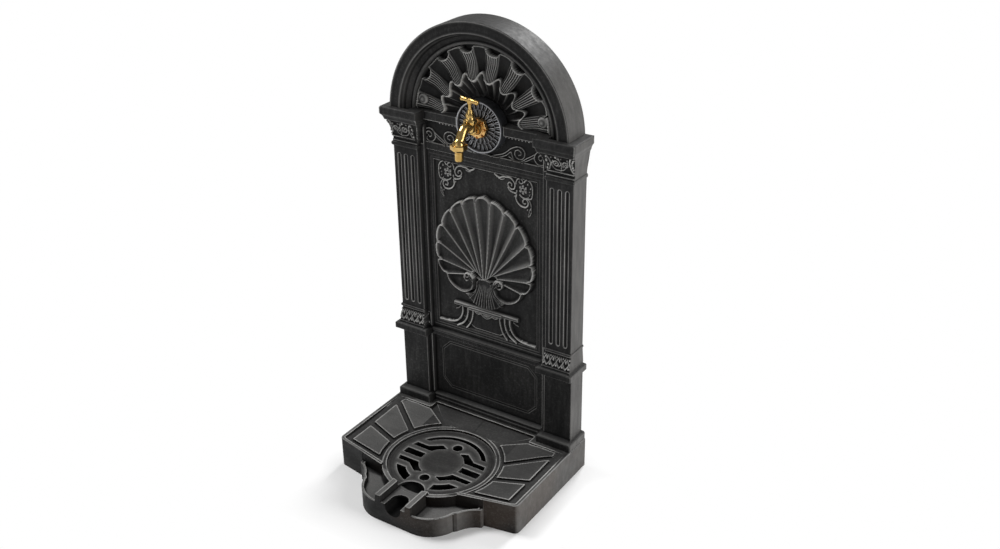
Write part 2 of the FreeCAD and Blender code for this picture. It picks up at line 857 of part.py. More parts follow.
def apronPocket():
    pocket = apronBlock("pocket", s.trayWall, s.apronFloor, s.apronTop + 1)
    ring = rod("pocketRing", s.ringRadius, s.apronTop + 2, (0, -s.wellDepth, 0))
    half = s.channelHalf
    channel = box("pocketChannel", -half, half, -s.apronDepth - 1, -s.wellDepth, 0, s.apronTop + 2)
    block = trayBlock("pocketBlock", 0, 0, s.apronTop + 2)
    return cutOut("apronPocket", pocket, [ring, channel, block])


def trayUnderside():
    k = s.trayWall
    under = trayBlock("underBlock", k, -1, s.deckTop - k)
    apron = apronBlock("underApron", k, -1, s.apronFloor - k)
    trough = s.slotHalf + k
    front = -s.apronDepth
    centre = -s.wellDepth
    wellWall = s.ringRadius - k + s.seatGap
    half = s.trayHalf
    dish = box("dishLimit", -half, half, front, -s.plinthMidDepth, 0, 2 * s.deckTop)
    kept = [
        shared("dishUnder", [dishCone("underDish", -k), dish]),
        rod("wellOuter", wellWall, s.deckTop, (0, centre, s.wellBase)),
        box("troughOuter", -trough, trough, front, centre, s.slotFoot - k, s.deckTop),
        box("channelRoof", -s.channelHalf, s.channelHalf, front, centre, s.channelFloor - k, s.deckTop),
    ]
    bay = s.inletBayHalf
    foot = s.inletShelf - s.inletShelfThick
    kept.append(box("inletShelf", -bay, bay, -s.inletBayDepth, 0, foot, s.inletShelf))
    for side in (-1, 1):
        inner = bay if side > 0 else -bay - k
        kept.append(box("inletCheek", inner, inner + k, -s.inletBayDepth, 0, 0, s.deckTop))
    return cutOut("underside", joined("underMass", [under, apron]), kept)


# The connector drops into a shelf that is open to the wall
def inletTools():
    bay = s.inletBayHalf
    foot = s.inletShelf - s.inletShelfThick
    way = s.inletRadius + s.seatGap
    top = s.deckTop - s.trayWall
    return [
        box("inletGate", -bay, bay, -s.trayWall - 1, 1, -1, foot),
        box("inletRoom", -bay, bay, -s.inletBayDepth, 1, s.inletShelf, top),
        box("inletSlot", -way, way, -s.hoseDepth, 1, foot - 1, s.inletShelf + 1),
        rod("inletClear", way, s.inletShelfThick + 2, (0, -s.hoseDepth, foot - 1)),
    ]


def wellTools():
    at = (0, -s.wellDepth)
    seat = s.ringTop - 4 - s.grateThick
    well = rod("well", s.wellRadius, s.ringTop, (*at, s.wellFloor))
    ledge = rod("ledge", s.grateRadius + s.seatGap, s.ringTop, (*at, seat))
    inner = s.channelInner
    reach = s.apronDepth + 1
    back = s.wellDepth + s.wellRadius
    mouth = box("channelMouth", -inner, inner, -reach, -back, s.channelFloor, s.channelTop + 1)
    slot = s.slotHalf
    low = s.slotFoot + slot
    arch = rod("slotRound", slot, reach - s.wellDepth, (0, -s.wellDepth, low), "front")
    roundDepth = s.apronDepth - s.slotLength + slot
    foot = low - s.slotLap
    open_ = box("slotOpen", -slot, slot, -reach, -roundDepth, foot, s.channelTop)
    end = rod("slotEnd", slot, s.channelTop - foot, (0, -roundDepth, foot))
    return [well, ledge, mouth, passage(arch), open_, end]


# The drain passage keeps a bridge under the channel's floor
def passage(arch):
    bridge = s.channelFloor - s.trayWall
    limit = box("passageLimit", -s.slotHalf, s.slotHalf, -s.apronDepth - 1, -s.wellDepth, 0, bridge)
    return shared("passage", [arch, limit])


def baseTray():
    holes = wellTools() + [trayUnderside(), apronPocket()] + inletTools()
    for side, across in screwPlaces:
        at = (getattr(s, across) * side, -s.panelScrewDepth, s.deckTop - s.trayWall - 1)
        holes.append(rod("screwClear", s.screwShank + s.seatGap, s.trayWall + 2, at))
    holes += hoseNotch("trayNotch", s.deckTop - s.trayWall - 1, s.deckTop + 1)
    finish(cutOut("baseTray", trayMass(), holes), "base_tray")


# Lift-out grate: a disc with curved slots, two lift holes and a notch for the can's spout
def grateRing(name, outer, inner):
    reach = s.grateThick + 2
    hole = rod(name + "Inner", inner, reach, (0, 0, -1))
    return cutOut(name, rod(name + "Outer", outer, reach, (0, 0, -1)), [hole])


def grateRows():
    hub = s.hubRadius
    ring = s.slotRingRadius
    near = s.grateRowNear
    far = s.grateRowFar
    half = s.grateSlot / 2
    reach = s.grateThick + 2
    rows = [box("rowMiddle", -ring, ring, -half, half, -1, reach - 1)]
    knee = 0.4 * hub
    bend = 0.67 * hub
    kneeTop = far + s.slotKneeRise
    bendTop = far + s.slotBendRise
    slot = [(ring, near), (knee, near), (knee, kneeTop), (bend, bendTop), (hub + 8, far), (ring, far)]
    for corners in (slot, mirrored(slot)):
        rows.append(slab("rowUpper", corners, "XY", -1, reach))
        below = [(a, -asSize(b)) for a, b in reversed(corners)]
        rows.append(slab("rowLower", below, "XY", -1, reach))
    return shared("rows", [grateRing("slotBand", ring, hub), joined("rowSet", rows)])


def grateArcs():
    ring = s.slotRingRadius
    outer = ring - s.grateSlot
    edge = s.grateRowFar + 15
    top = s.grateThick + 1
    back = box("backLimit", -outer, outer, edge, ring, -1, top)
    fronts = [box("frontRight", 0.4 * outer, outer, -ring, -edge, -1, top)]
    fronts.append(box("frontLeft", -outer, -0.4 * outer, -ring, -edge, -1, top))
    backArc = shared("backArc", [grateRing("thinBand", ring, ring - s.grateSlot / 2), back])
    frontArcs = shared("frontArcs", [grateRing("wideBand", ring, outer), joined("frontLimits", fronts)])
    return [backArc, frontArcs]


def drainGrate():
    reach = s.grateThick + 2
    tools = [grateRows()] + grateArcs()
    for side in (-1, 1):
        tools.append(rod("liftHole", s.liftHoleRadius, reach, (0, s.liftHoleOffset * side, -1)))
    tools.append(rod("frontNotch", s.notchRadius, reach, (0, -s.notchOffset, -1)))
    disc = rod("grateDisc", s.grateRadius, s.grateThick, (0, 0, 0))
    seat = s.ringTop - 4 - s.grateThick
    finish(cutOut("drainGrate", disc, tools), "drain_grate", 0, -s.wellDepth, seat)


# Pieces turned about the tap's level axis: upright while they are made, laid over when placed
def lay(body, label, x, depth, z, turn="front"):
    body.Label = label
    place(body, x, -depth + s.apronDepth / 2, z, turns[turn])
    finished.append(body)
    return body


def rosette():
    hole = s.shankRadius + s.seatGap
    field = s.rosetteField - s.rosetteBack
    rim = s.rosetteRim - s.rosetteBack
    inner = s.rosetteRadius - s.rosetteRimWidth
    k = s.skin
    corners = [
        (hole, field),
        (hole, 0),
        (hole + k, 0),
        (hole + k, field - k),
        (s.rosetteRadius - k, field - k),
        (s.rosetteRadius - k, 0),
        (s.rosetteRadius, 0),
        (s.rosetteRadius, rim),
        (inner, rim),
        (inner - 1, field),
    ]
    lay(turned("rosettePlate", corners), "rosette", 0, s.rosetteBack, s.tapHeight)


# Tap: body, flange and the washer behind the panel
def tapBody():
    shoulder = s.rosetteField + s.flangeThick
    shank = rod("shank", s.shankRadius, shoulder - s.shankBack, (0, -s.shankBack, 0), "front")
    neck = rod("neck", s.neckRadius, s.stemDepth - shoulder, (0, -shoulder, 0), "front")
    foot = s.barrelFoot - s.tapHeight
    top = s.barrelTop - s.tapHeight
    stem = (0, -s.stemDepth)
    barrel = rod("barrel", s.barrelRadius, top - foot - 3, (*stem, foot + 3))
    crown = cone("barrelCrown", s.barrelRadius, s.barrelRadius - 2, 3, (*stem, top - 3))
    base = cone("barrelBase", s.barrelRadius - 3, s.barrelRadius, 3, (*stem, foot))
    outletTop = s.outletTop - s.tapHeight
    outletFoot = s.outletFoot - s.tapHeight
    outlet = (0, -s.outletDepth)
    thread = s.unionTop - s.outletFoot
    spigot = rod("spigot", s.outletRadius, thread, (*outlet, outletFoot))
    lift = outletTop - outletFoot - thread
    flareTop = cone("spigotFlare", s.outletRadius, s.spoutRadius, lift, (*outlet, outletFoot + thread))
    outside = spoutPipe("spout", s.spoutRadius)
    solids = [shank, neck, barrel, crown, base, spigot, flareTop]
    seat = s.seatHeight - s.tapHeight
    low = s.lowWayHeight - s.tapHeight
    lowFoot = low - s.lowWayRadius - 0.4
    start = s.stemDepth - s.chamberRadius - s.lowerChamberRadius
    tools = [
        rod("headroom", s.barrelRadius + 1, s.spoutRadius, (*stem, top)),
        rod("chamber", s.chamberRadius, top - seat + 1, (*stem, seat)),
        rod("seatHole", s.seatBore, s.seatThick + 2, (*stem, seat - s.seatThick - 1)),
        rod("lowerChamber", s.lowerChamberRadius, seat - s.seatThick - lowFoot, (*stem, lowFoot)),
        rod("shankBore", s.shankBore, start - s.shankBack + 5, (0, 1 - s.shankBack, 0), "front"),
        rod("lowWay", s.lowWayRadius, s.stemDepth - start, (0, -start, low), "front"),
        rod("outletBore", s.spoutBore, outletTop - outletFoot + 1, (*outlet, outletFoot - 1)),
    ]
    tools += spoutPipe("spoutWay", s.spoutBore)
    body = cutOut("tapBody", joined("tapMass", solids + outside), tools)
    finish(body, "tap_body", 0, 0, s.tapHeight)


# The spout falls from the barrel at a slant and turns to point straight down
def spoutPipe(name, radius):
    start = s.spoutStart - s.tapHeight
    run = s.outletDepth - s.stemDepth
    fall = start - (s.outletTop - s.tapHeight)
    length = root(run * run + fall * fall)
    slope = math.degrees(math.atan2(run.value, -fall.value))
    pipe = rod(name, radius, length, (0, 0, 0))
    place(pipe, 0, -s.stemDepth, start, FreeCAD.Rotation(FreeCAD.Vector(1, 0, 0), slope))
    return [pipe, ball(name + "Knee", radius, (0, -s.outletDepth, s.outletTop - s.tapHeight))]


def tapFlange():
    plate = rod("flangePlate", s.flangeRadius, s.flangeThick, (0, 0, 0))
    tools = [rod("flangeHole", s.shankRadius + s.runGap, s.flangeThick + 2, (0, 0, -1))]
    for number in range(scallopCount):
        angle = 2 * math.pi * (number + 0.5) / scallopCount
        reach = s.flangeRadius + s.scallopRadius / 2
        at = (reach * math.cos(angle), reach * math.sin(angle), -1)
        tools.append(rod("scallop", s.scallopRadius, s.flangeThick + 2, at))
    lay(cutOut("tapFlange", plate, tools), "tap_flange", 0, s.rosetteField, s.tapHeight)


def panelWasher():
    hole = s.shankRadius + s.runGap
    edge = s.washerRadius
    thick = s.washerThick
    ring = turned("panelWasher", [(hole, 0), (edge, 0), (edge, thick), (hole, thick)])
    lay(ring, "panel_washer", 0, s.rosetteBack - s.skin, s.tapHeight, "back")


# Tap headworks
def bonnet():
    lower = s.chamberRadius - s.runGap
    foot = s.bonnetFoot
    shoulder = s.barrelTop + s.sealThick
    thread = s.screwRadius + s.runGap
    pocket = s.packingRadius + s.runGap
    neck = s.glandAcross / 2 - 1.2
    collar = s.bonnetTop - 4
    section = [
        (s.valveRadius + s.seatGap, 0),
        (lower, 0),
        (lower, shoulder - foot),
        (s.barrelRadius, shoulder - foot),
        (s.barrelRadius, collar - foot),
        (neck, s.bonnetTop - foot),
        (neck, s.bonnetTop + 2 - foot),
        (pocket, s.bonnetTop + 2 - foot),
        (pocket, s.bonnetTop - 2 - foot),
        (thread, s.bonnetTop - 2 - foot),
        (thread, s.bonnetSkirt),
        (s.valveRadius + s.seatGap, s.bonnetSkirt),
    ]
    round_ = turned("bonnetRound", section)
    trim = hexPrism("bonnetHex", s.bonnetAcross, s.bonnetTop + 3 - foot, (0, 0, 0))
    finish(shared("bonnet", [round_, trim]), "bonnet", 0, -s.stemDepth, foot)
    near = lower + s.runGap
    far = s.barrelRadius - 2
    seal = [(near, 0), (far, 0), (far, s.sealThick), (near, s.sealThick)]
    finish(turned("bonnetSeal", seal), "bonnet_seal", 0, -s.stemDepth, s.barrelTop)


def gland():
    foot = s.bonnetTop - 2
    hole = s.spindleRadius + s.runGap
    edge = s.packingRadius
    top = s.packingHeight
    ring = [(hole, 0), (edge, 0), (edge, top), (hole, top)]
    finish(turned("glandPacking", ring), "gland_packing", 0, -s.stemDepth, foot)
    neck = s.glandAcross / 2 - 1.2 + s.runGap
    edge = s.glandAcross * 0.56
    top = s.glandTop - s.bonnetTop
    section = [
        (neck, 0),
        (edge, 0),
        (edge, top - 3),
        (edge - 2, top),
        (hole, top),
        (hole, 2),
        (neck, 2),
    ]
    round_ = turned("glandRound", section)
    trim = hexPrism("glandHex", s.glandAcross, top + 1, (0, 0, 0))
    finish(shared("glandNut", [round_, trim]), "gland_nut", 0, -s.stemDepth, s.bonnetTop)


def spindle():
    foot = s.spindleFoot
    socket = s.jumperStemRadius + s.runGap
    top = s.handleHeight - s.handleBossHalf
    section = [
        (0, 8),
        (socket, 8),
        (socket, 0),
        (s.screwRadius, 0),
        (s.screwRadius, s.bonnetTop - 7 - foot),
        (s.spindleRadius, s.bonnetTop - 6 - foot),
        (s.spindleRadius, top - foot),
        (s.spindleRadius - 0.8, top - foot),
        (s.spindleRadius - 0.8, s.handleHeight + s.handleRadius - foot),
        (0, s.handleHeight + s.handleRadius - foot),
    ]
    body = turned("spindleTurned", section)
    reach = 4 * s.handleBossRadius
    at = (0, reach / 2, s.handleHeight - foot)
    hole = rod("spindlePinHole", s.pinRadius + s.runGap, reach, at, "front")
    piece = cutOut("spindle", body, [hole])
    place(piece, 0, 0, 0, handleRotation())
    finish(piece, "spindle", 0, -s.stemDepth, foot)


def handleRotation():
    return FreeCAD.Rotation(FreeCAD.Vector(0, 0, 1), dimensions["handleTurn"])


def valve():
    seat = s.seatHeight
    disc = [(0, 0), (s.valveRadius, 0), (s.valveRadius, s.valveWasherThick), (0, s.valveWasherThick)]
    finish(turned("valveWasher", disc), "valve_washer", 0, -s.stemDepth, seat)
    stem = s.spindleFoot + 7 - seat - s.valveWasherThick
    section = [
        (0, 0),
        (s.valveRadius, 0),
        (s.valveRadius, s.jumperThick),
        (s.jumperStemRadius, s.jumperThick),
        (s.jumperStemRadius, stem),
        (0, stem),
    ]
    finish(turned("jumperValve", section), "jumper_valve", 0, -s.stemDepth, seat + s.valveWasherThick)


# T-handle: a waisted bar with rounded ends on a boss, held to the spindle by a cross pin
def handle():
    half = s.handleHalf - s.handleEndRadius
    low = (0, 0, -s.handleBossHalf)
    parts = [rod("handleBoss", s.handleBossRadius, s.handleBossHalf + s.handleRadius, low)]
    for side, turn in ((1, "right"), (-1, "right")):
        start = (0, 0, 0) if side > 0 else (-half, 0, 0)
        first = s.handleRadius if side > 0 else s.handleEndRadius
        last = s.handleEndRadius if side > 0 else s.handleRadius
        parts.append(cone("handleArm", first, last, half, start, turn))
        parts.append(ball("handleEnd", s.handleEndRadius, (half * side, 0, 0)))
    neck = s.spindleRadius - 0.8 + s.runGap
    reach = 2 * s.handleBossRadius
    tools = [
        rod("handleBore", neck, 3 * s.handleBossHalf, (0, 0, -s.handleBossHalf - 1)),
        rod("handlePinHole", s.pinRadius, 2 * reach, (0, reach, 0), "front"),
    ]
    bar = cutOut("tapHandle", joined("handleBar", parts), tools)
    place(bar, 0, 0, 0, handleRotation())
    finish(bar, "tap_handle", 0, -s.stemDepth, s.handleHeight)
    half = s.handleBossRadius - 1
    tip = s.pinRadius - 0.3
    ends = [
        rod("pinShank", s.pinRadius, 2 * half, (0, half, 0), "front"),
        cone("pinFront", s.pinRadius, tip, 0.4, (0, -half, 0), "front"),
        cone("pinBack", s.pinRadius, tip, 0.4, (0, half, 0), "back"),
    ]
    pin = joined("handlePin", ends)
    place(pin, 0, 0, 0, handleRotation())
    finish(pin, "handle_pin", 0, -s.stemDepth, s.handleHeight)


# Outlet union
def union():
    height = s.unionTop - s.unionFoot
    blank = hexPrism("unionBlank", s.unionAcross, height, (0, 0, 0))
    bevel = cone("unionBevel", s.unionAcross * 0.585, s.unionAcross * 0.53, height, (0, 0, 0))
    bore = rod("unionBore", s.outletRadius + s.runGap, height, (0, 0, s.unionLip))
    way = rod("unionWay", s.tailNeck + s.runGap, height, (0, 0, -1))
    nutShape = cutOut("unionNut", shared("unionHex", [blank, bevel]), [bore, way])
    finish(nutShape, "union_nut", 0, -s.outletDepth, s.unionFoot)
    collarFoot = s.unionFoot + s.unionLip + 2 * s.runGap
    collarTop = collarFoot + s.tailCollar
    edge = s.outletRadius - 1
    low = s.tailFoot - collarFoot
    groove = s.tailGroove
    neckFoot = s.unionFoot - collarFoot - groove
    tail = [
        (s.tailBore, low),
        (s.tailRadius - 0.8, low),
        (s.tailRadius, low + 2),
        (s.tailRadius, neckFoot - groove),
        (s.tailRadius - groove, neckFoot - groove),
        (s.tailRadius - groove, neckFoot),
        (s.tailNeck, neckFoot),
        (s.tailNeck, 0),
        (edge, 0),
        (edge, s.tailCollar),
        (s.tailBore, s.tailCollar),
    ]
    finish(turned("hoseTail", tail), "hose_tail", 0, -s.outletDepth, collarFoot)
    gap = s.outletFoot - collarTop
    ring = [(s.tailBore, 0), (edge, 0), (edge, gap), (s.tailBore, gap)]
    finish(turned("unionWasher", ring), "union_washer", 0, -s.outletDepth, collarTop)


# Supply: elbow, hose, clamps, clips and lower connector
def elbow():
    front = s.rosetteBack - s.skin - s.washerThick
    back = s.elbowBack
    shell = hexPrism("elbowShell", s.elbowAcross, front - back, (0, -back, 0), "front")
    drop = s.tapHeight - s.hoseTop
    barbFoot = -drop - s.barbLength
    collar = rod("elbowCollar", s.hoseBore + 1, drop, (0, -s.hoseTopDepth, -drop))
    barb = rod("elbowBarb", s.hoseBore, s.barbLength + 1, (0, -s.hoseTopDepth, barbFoot))
    chamberBack = back + s.elbowWall
    way = s.shankRadius + s.runGap
    tools = [
        rod("elbowThread", way, s.elbowThread + 1, (0, s.elbowThread - front, 0), "front"),
        rod("elbowChamber", s.elbowChamber, front - chamberBack, (0, -chamberBack, 0), "front"),
        rod("elbowWay", s.barbBore, drop + s.barbLength + 1, (0, -s.hoseTopDepth, barbFoot - 1)),
    ]
    piece = cutOut("elbow", joined("elbowMass", [shell, collar, barb]), tools)
    finish(piece, "wall_elbow", 0, 0, s.tapHeight)


def hoseFoot():
    return s.inletShelf + s.inletHexThick + s.seatGap


# The hose runs down behind the panel, with one gentle offset bend of two arcs
def supplyHose():
    top = FreeCAD.Vector(0, -sheet.get("hoseTopDepth"), sheet.get("hoseTop"))
    low = FreeCAD.Vector(0, -sheet.get("hoseDepth"), hoseFoot().value)
    radius = sheet.get("hoseBendRadius")
    offset = top.y - low.y
    angle = math.acos(1 - offset / 2 / radius)
    fall = radius * math.sin(angle)
    start = FreeCAD.Vector(0, top.y, sheet.get("hoseBendTop"))
    middle = start + FreeCAD.Vector(0, -offset / 2, -fall)
    end = start + FreeCAD.Vector(0, -offset, -2 * fall)
    side = radius * (1 - math.cos(angle / 2))
    drop = radius * math.sin(angle / 2)
    first = start + FreeCAD.Vector(0, -side, -drop)
    second = end + FreeCAD.Vector(0, side, drop)
    path = Part.Wire([
        Part.LineSegment(top, start).toShape(),
        Part.Arc(start, first, middle).toShape(),
        Part.Arc(middle, second, end).toShape(),
        Part.LineSegment(end, low).toShape(),
    ])
    tubes = []
    for size in ("hoseRadius", "hoseBore"):
        ring = Part.Wire([Part.Circle(top, FreeCAD.Vector(0, 0, 1), sheet.get(size)).toShape()])
        tubes.append(path.makePipeShell([ring], True, True))
    hose = doc.addObject("Part::Feature", "riserHose")
    hose.Shape = tubes[0].cut(tubes[1])
    finish(hose, "riser_hose")


def hoseClamp(name, label, depth, z):
    outer = s.hoseRadius + s.clampBand
    ear = s.clampEar / 2
    ring = rod(name + "Ring", outer, s.clampWidth, (0, 0, 0))
    lug = box(name + "Ear", outer - 1, outer + s.clampEar, -ear, ear, 0, s.clampWidth)
    bore = rod(name + "Bore", s.hoseRadius, s.clampWidth + 2, (0, 0, -1))
    finish(cutOut(name, joined(name + "Band", [ring, lug]), [bore]), label, 0, -depth, z)


# A saddle clip lies over the hose from the wall's side and is screwed to two bosses
def hoseClip(number):
    z = s.clipLow + s.clipPitch * number - s.clipWidth / 2
    foot = clipFootDepth()
    edge = s.clipScrewAcross + s.bossRadius
    top = s.clipWidth
    name = f"hoseClip{number + 1}"
    base = box(name + "Base", -edge, edge, -foot, -foot + s.clipThick, 0, top)
    outer = s.hoseRadius + 0.4
    wall = rod(name + "Wall", outer, top, (0, -s.hoseDepth, 0))
    tools = [rod(name + "Hose", s.hoseRadius + 0.02, top + 2, (0, -s.hoseDepth, -1))]
    tools.append(box(name + "Mouth", -outer, outer, -foot - 4 * s.clipThick, -foot, -1, top + 1))
    for side in (-1, 1):
        at = (s.clipScrewAcross * side, -foot - 1, top / 2)
        tools.append(rod(name + "Hole", s.screwShank + s.seatGap, s.clipThick + 2, at, "back"))
    clip = cutOut(name, joined(name + "Mass", [base, wall]), tools)
    finish(clip, f"hose_clip_{number + 1}", 0, 0, z)


def inletConnector():
    hexFoot = s.inletShelf - s.inletFoot
    hexTop = hexFoot + s.inletHexThick
    thread = rod("inletThread", s.inletRadius, hexFoot + 1, (0, 0, 0))
    body = hexPrism("inletHex", s.inletHexAcross, s.inletHexThick, (0, 0, hexFoot))
    barb = rod("inletBarb", s.hoseBore, s.barbLength + 1, (0, 0, hexTop - 1))
    bore = rod("inletWay", s.barbBore, hexTop + s.barbLength + 2, (0, 0, -1))
    groove = s.inletGroove
    nutFoot = hexFoot - s.inletShelfThick - s.inletNutThick
    neck = s.inletRadius - groove / 2
    outer = s.inletRadius + 1
    start = nutFoot - groove
    ring = turned("inletGroove", [(neck, 0), (outer, 0), (outer, groove * 4 / 3), (neck, groove * 4 / 3)])
    place(ring, 0, 0, start)
    piece = cutOut("inletConnector", joined("inletMass", [thread, body, barb]), [bore, ring])
    finish(piece, "inlet_connector", 0, -s.hoseDepth, s.inletFoot)


def inletLockNut():
    across = s.inletHexAcross
    thick = s.inletNutThick
    blank = hexPrism("lockNutBlank", across, thick, (0, 0, 0))
    bevel = cone("lockNutBevel", across * 0.52, across * 0.58, thick, (0, 0, 0))
    bore = rod("lockNutBore", s.inletRadius + s.runGap, thick + 2, (0, 0, -1))
    lockNut = cutOut("lockNut", shared("lockNutHex", [blank, bevel]), [bore])
    under = s.inletShelf - s.inletShelfThick - thick
    finish(lockNut, "inlet_lock_nut", 0, -s.hoseDepth, under)


# Screws alike share one node: a pan head on a plain shank
def screwSet(name, label, places, length, turn):
    screws = []
    for number, (x, y, z) in enumerate(places):
        shank = rod(f"{name}Shank{number}", s.screwShank, length + 1, (0, 0, -1))
        edge = s.screwHead
        head = cone(f"{name}Head{number}", edge, edge - 1, s.screwHeadThick, (0, 0, 0), "down")
        screws.append(place(joined(f"{name}{number}", [shank, head]), x, y, z, turns[turn]))
    group = doc.addObject("Part::Compound", name)
    group.Links = screws
    finish(group, label)


def screws():
    places = []
    for side, across in screwPlaces:
        places.append((getattr(s, across) * side, -s.panelScrewDepth, s.deckTop - s.trayWall))
    screwSet("panelScrews", "panel_screws", places, s.screwLength, "up")
    places = []
    for number in range(clipCount):
        for side in (-1, 1):
            z = s.clipLow + s.clipPitch * number
            places.append((s.clipScrewAcross * side, -clipFootDepth() + s.clipThick, z))
    screwSet("clipScrews", "clip_screws", places, s.clipScrewLength, "front")


def build():
    backPanel()
    baseTray()
    drainGrate()
    rosette()
    tapBody()
    tapFlange()
    panelWasher()
    bonnet()
    gland()
    spindle()
    valve()
    handle()
    union()
    elbow()
    supplyHose()
    hoseClamp("upperClamp", "upper_hose_clamp", s.hoseTopDepth, s.hoseTop - s.clampWidth - 3)
    hoseClamp("lowerClamp", "lower_hose_clamp", s.hoseDepth, hoseFoot() + 1)
    for number in range(clipCount):
        hoseClip(number)
    inletConnector()
    inletLockNut()
    screws()


build()
doc.recompute()
os.makedirs("parts", exist_ok=True)
for item in doc.Objects:
    if "Invalid" in item.State or "Error" in item.State:
        raise RuntimeError(f"{item.Name} failed: {item.State}")
for item in finished:
    if item.Shape.isNull() or not item.Shape.isValid():
        raise RuntimeError(f"{item.Label} has no valid shape")
for item in finished:
    item.Shape.exportStep(f"parts/{item.Label}.step")
    print(item.Label, len(item.Shape.Solids), round(item.Shape.Volume))
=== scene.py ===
import math
import bmesh
import bpy
import numpy as np
from mathutils import Matrix, Vector
from mathutils.bvhtree import BVHTree


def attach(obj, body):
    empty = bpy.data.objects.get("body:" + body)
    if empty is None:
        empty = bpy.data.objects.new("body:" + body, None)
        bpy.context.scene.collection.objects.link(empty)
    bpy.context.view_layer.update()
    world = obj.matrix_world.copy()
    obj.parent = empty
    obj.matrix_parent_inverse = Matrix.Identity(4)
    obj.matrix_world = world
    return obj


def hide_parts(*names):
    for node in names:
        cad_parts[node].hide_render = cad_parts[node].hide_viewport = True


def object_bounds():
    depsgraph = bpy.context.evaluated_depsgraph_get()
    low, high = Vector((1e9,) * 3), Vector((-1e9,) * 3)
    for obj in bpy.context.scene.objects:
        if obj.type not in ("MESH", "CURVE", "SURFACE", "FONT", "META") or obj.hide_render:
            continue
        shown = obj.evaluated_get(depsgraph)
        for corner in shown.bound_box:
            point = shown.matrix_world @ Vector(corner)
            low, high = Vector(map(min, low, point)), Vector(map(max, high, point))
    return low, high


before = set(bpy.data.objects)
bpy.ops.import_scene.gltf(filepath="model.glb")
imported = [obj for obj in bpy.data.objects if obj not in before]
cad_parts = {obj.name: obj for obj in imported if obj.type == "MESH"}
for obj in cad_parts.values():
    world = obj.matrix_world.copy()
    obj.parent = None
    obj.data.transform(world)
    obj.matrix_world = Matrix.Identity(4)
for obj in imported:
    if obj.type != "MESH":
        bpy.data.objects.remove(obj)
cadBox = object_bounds()
millimetre = 0.001
wallDepth = round(cadBox[1][1] / millimetre, 2)   # from the middle of the footprint back to the wall
footDepth = 2 * wallDepth                         # from the wall to the front of the tray's apron
tapLevel = 628                                    # height of the axis that tap and rosette share
print("frame loaded")


# fields over a grid, in millimetres
def smooth(value):
    t = np.clip(value, 0, 1)
    return t * t * (3 - 2 * t)


def inBox(x, z, left, right, low, high, soft=1.2):   # 1 inside, eased to 0 outside
    inside = np.minimum(np.minimum(x - left, right - x), np.minimum(z - low, high - z))
    return smooth(inside / soft + 0.5)


def segmentDistance(x, z, a, b):
    dx, dz = b[0] - a[0], b[1] - a[1]
    t = np.clip(((x - a[0]) * dx + (z - a[1]) * dz) / max(dx * dx + dz * dz, 1e-9), 0, 1)
    return np.hypot(x - a[0] - t * dx, z - a[1] - t * dz), t


def outlineInside(x, z, points):   # distance to a closed outline, positive inside it
    best = np.full(np.shape(x), 1e9)
    odd = np.zeros(np.shape(x), bool)
    for a, b in zip(points, points[1:] + points[:1]):
        best = np.minimum(best, segmentDistance(x, z, a, b)[0])
        if a[1] != b[1]:
            crosses = (a[1] > z) != (b[1] > z)
            odd ^= crosses & (x < a[0] + (z - a[1]) / (b[1] - a[1]) * (b[0] - a[0]))
    return np.where(odd, best, -best)


def curvePoints(points, steps=7):   # a smooth line through the given points
    p = np.array(points, float)
    p = np.vstack([2 * p[0] - p[1], p, 2 * p[-1] - p[-2]])
    out = []
    for a, b, c, d in zip(p, p[1:], p[2:], p[3:]):
        for t in np.linspace(0, 1, steps, endpoint=False):
            out.append(0.5 * (2 * b + (c - a) * t + (2 * a - 5 * b + 4 * c - d) * t ** 2
                              + (3 * b - a - 3 * c + d) * t ** 3))
    out.append(p[-2])
    return [(float(q[0]), float(q[1])) for q in out]


def blurred(field, passes):
    out = field.copy()
    for _ in range(passes):
        p = np.pad(out, 1, mode="edge")
        out = (p[:-2, 1:-1] + p[2:, 1:-1] + p[1:-1, :-2] + p[1:-1, 2:] + 4 * p[1:-1, 1:-1]) / 8
    return out


def unevenSkin(shape, seed, passes, height):   # the faint waves of a sand-cast surface
    waves = blurred(np.random.default_rng(seed).normal(0, 1, shape), passes)
    return height * waves / max(waves.std(), 1e-6)


def highestBeside(field):   # the highest of each point's four neighbours
    p = np.pad(field, 1)
    return np.maximum.reduce([p[:-2, 1:-1], p[2:, 1:-1], p[1:-1, :-2], p[1:-1, 2:]])


def bothSides(points):   # closes an outline that is drawn from the middle line to the right
    return points + [(-a, b) for a, b in points[-2:0:-1]]


def near(x, z, points, reach):   # the part of a grid around some points
    xs, zs = [p[0] for p in points], [p[1] for p in points]
    inside = (x > min(xs) - reach) & (x < max(xs) + reach)
    inside &= (z > min(zs) - reach) & (z < max(zs) + reach)
    rows, cols = np.where(inside.any(1))[0], np.where(inside.any(0))[0]
    if len(rows) == 0 or len(cols) == 0:
        return slice(0, 0), slice(0, 0)
    return slice(rows[0], rows[-1] + 1), slice(cols[0], cols[-1] + 1)


def stroke(layer, x, z, points, width, rise, taper=0.0):   # a rounded ridge along a line
    place = near(x, z, points, width + 1)
    count = len(points) - 1
    best = layer[place]
    for i in range(count):
        away, t = segmentDistance(x[place], z[place], points[i], points[i + 1])
        share = 1 - taper * (i + t) / count
        ridge = np.clip(1 - (away / (width * share)) ** 2, 0, 1)
        best = np.maximum(best, rise * (0.35 + 0.65 * share) * np.sqrt(ridge))
    layer[place] = best


def blob(layer, x, z, centre, across, high, rise, turn=0.0):   # a rounded oval
    place = near(x, z, [centre], max(across, high) + 1)
    c, s = math.cos(math.radians(turn)), math.sin(math.radians(turn))
    dx, dz = x[place] - centre[0], z[place] - centre[1]
    u, v = (dx * c + dz * s) / across, (dz * c - dx * s) / high
    layer[place] = np.maximum(layer[place], rise * np.sqrt(np.clip(1 - u * u - v * v, 0, 1)))


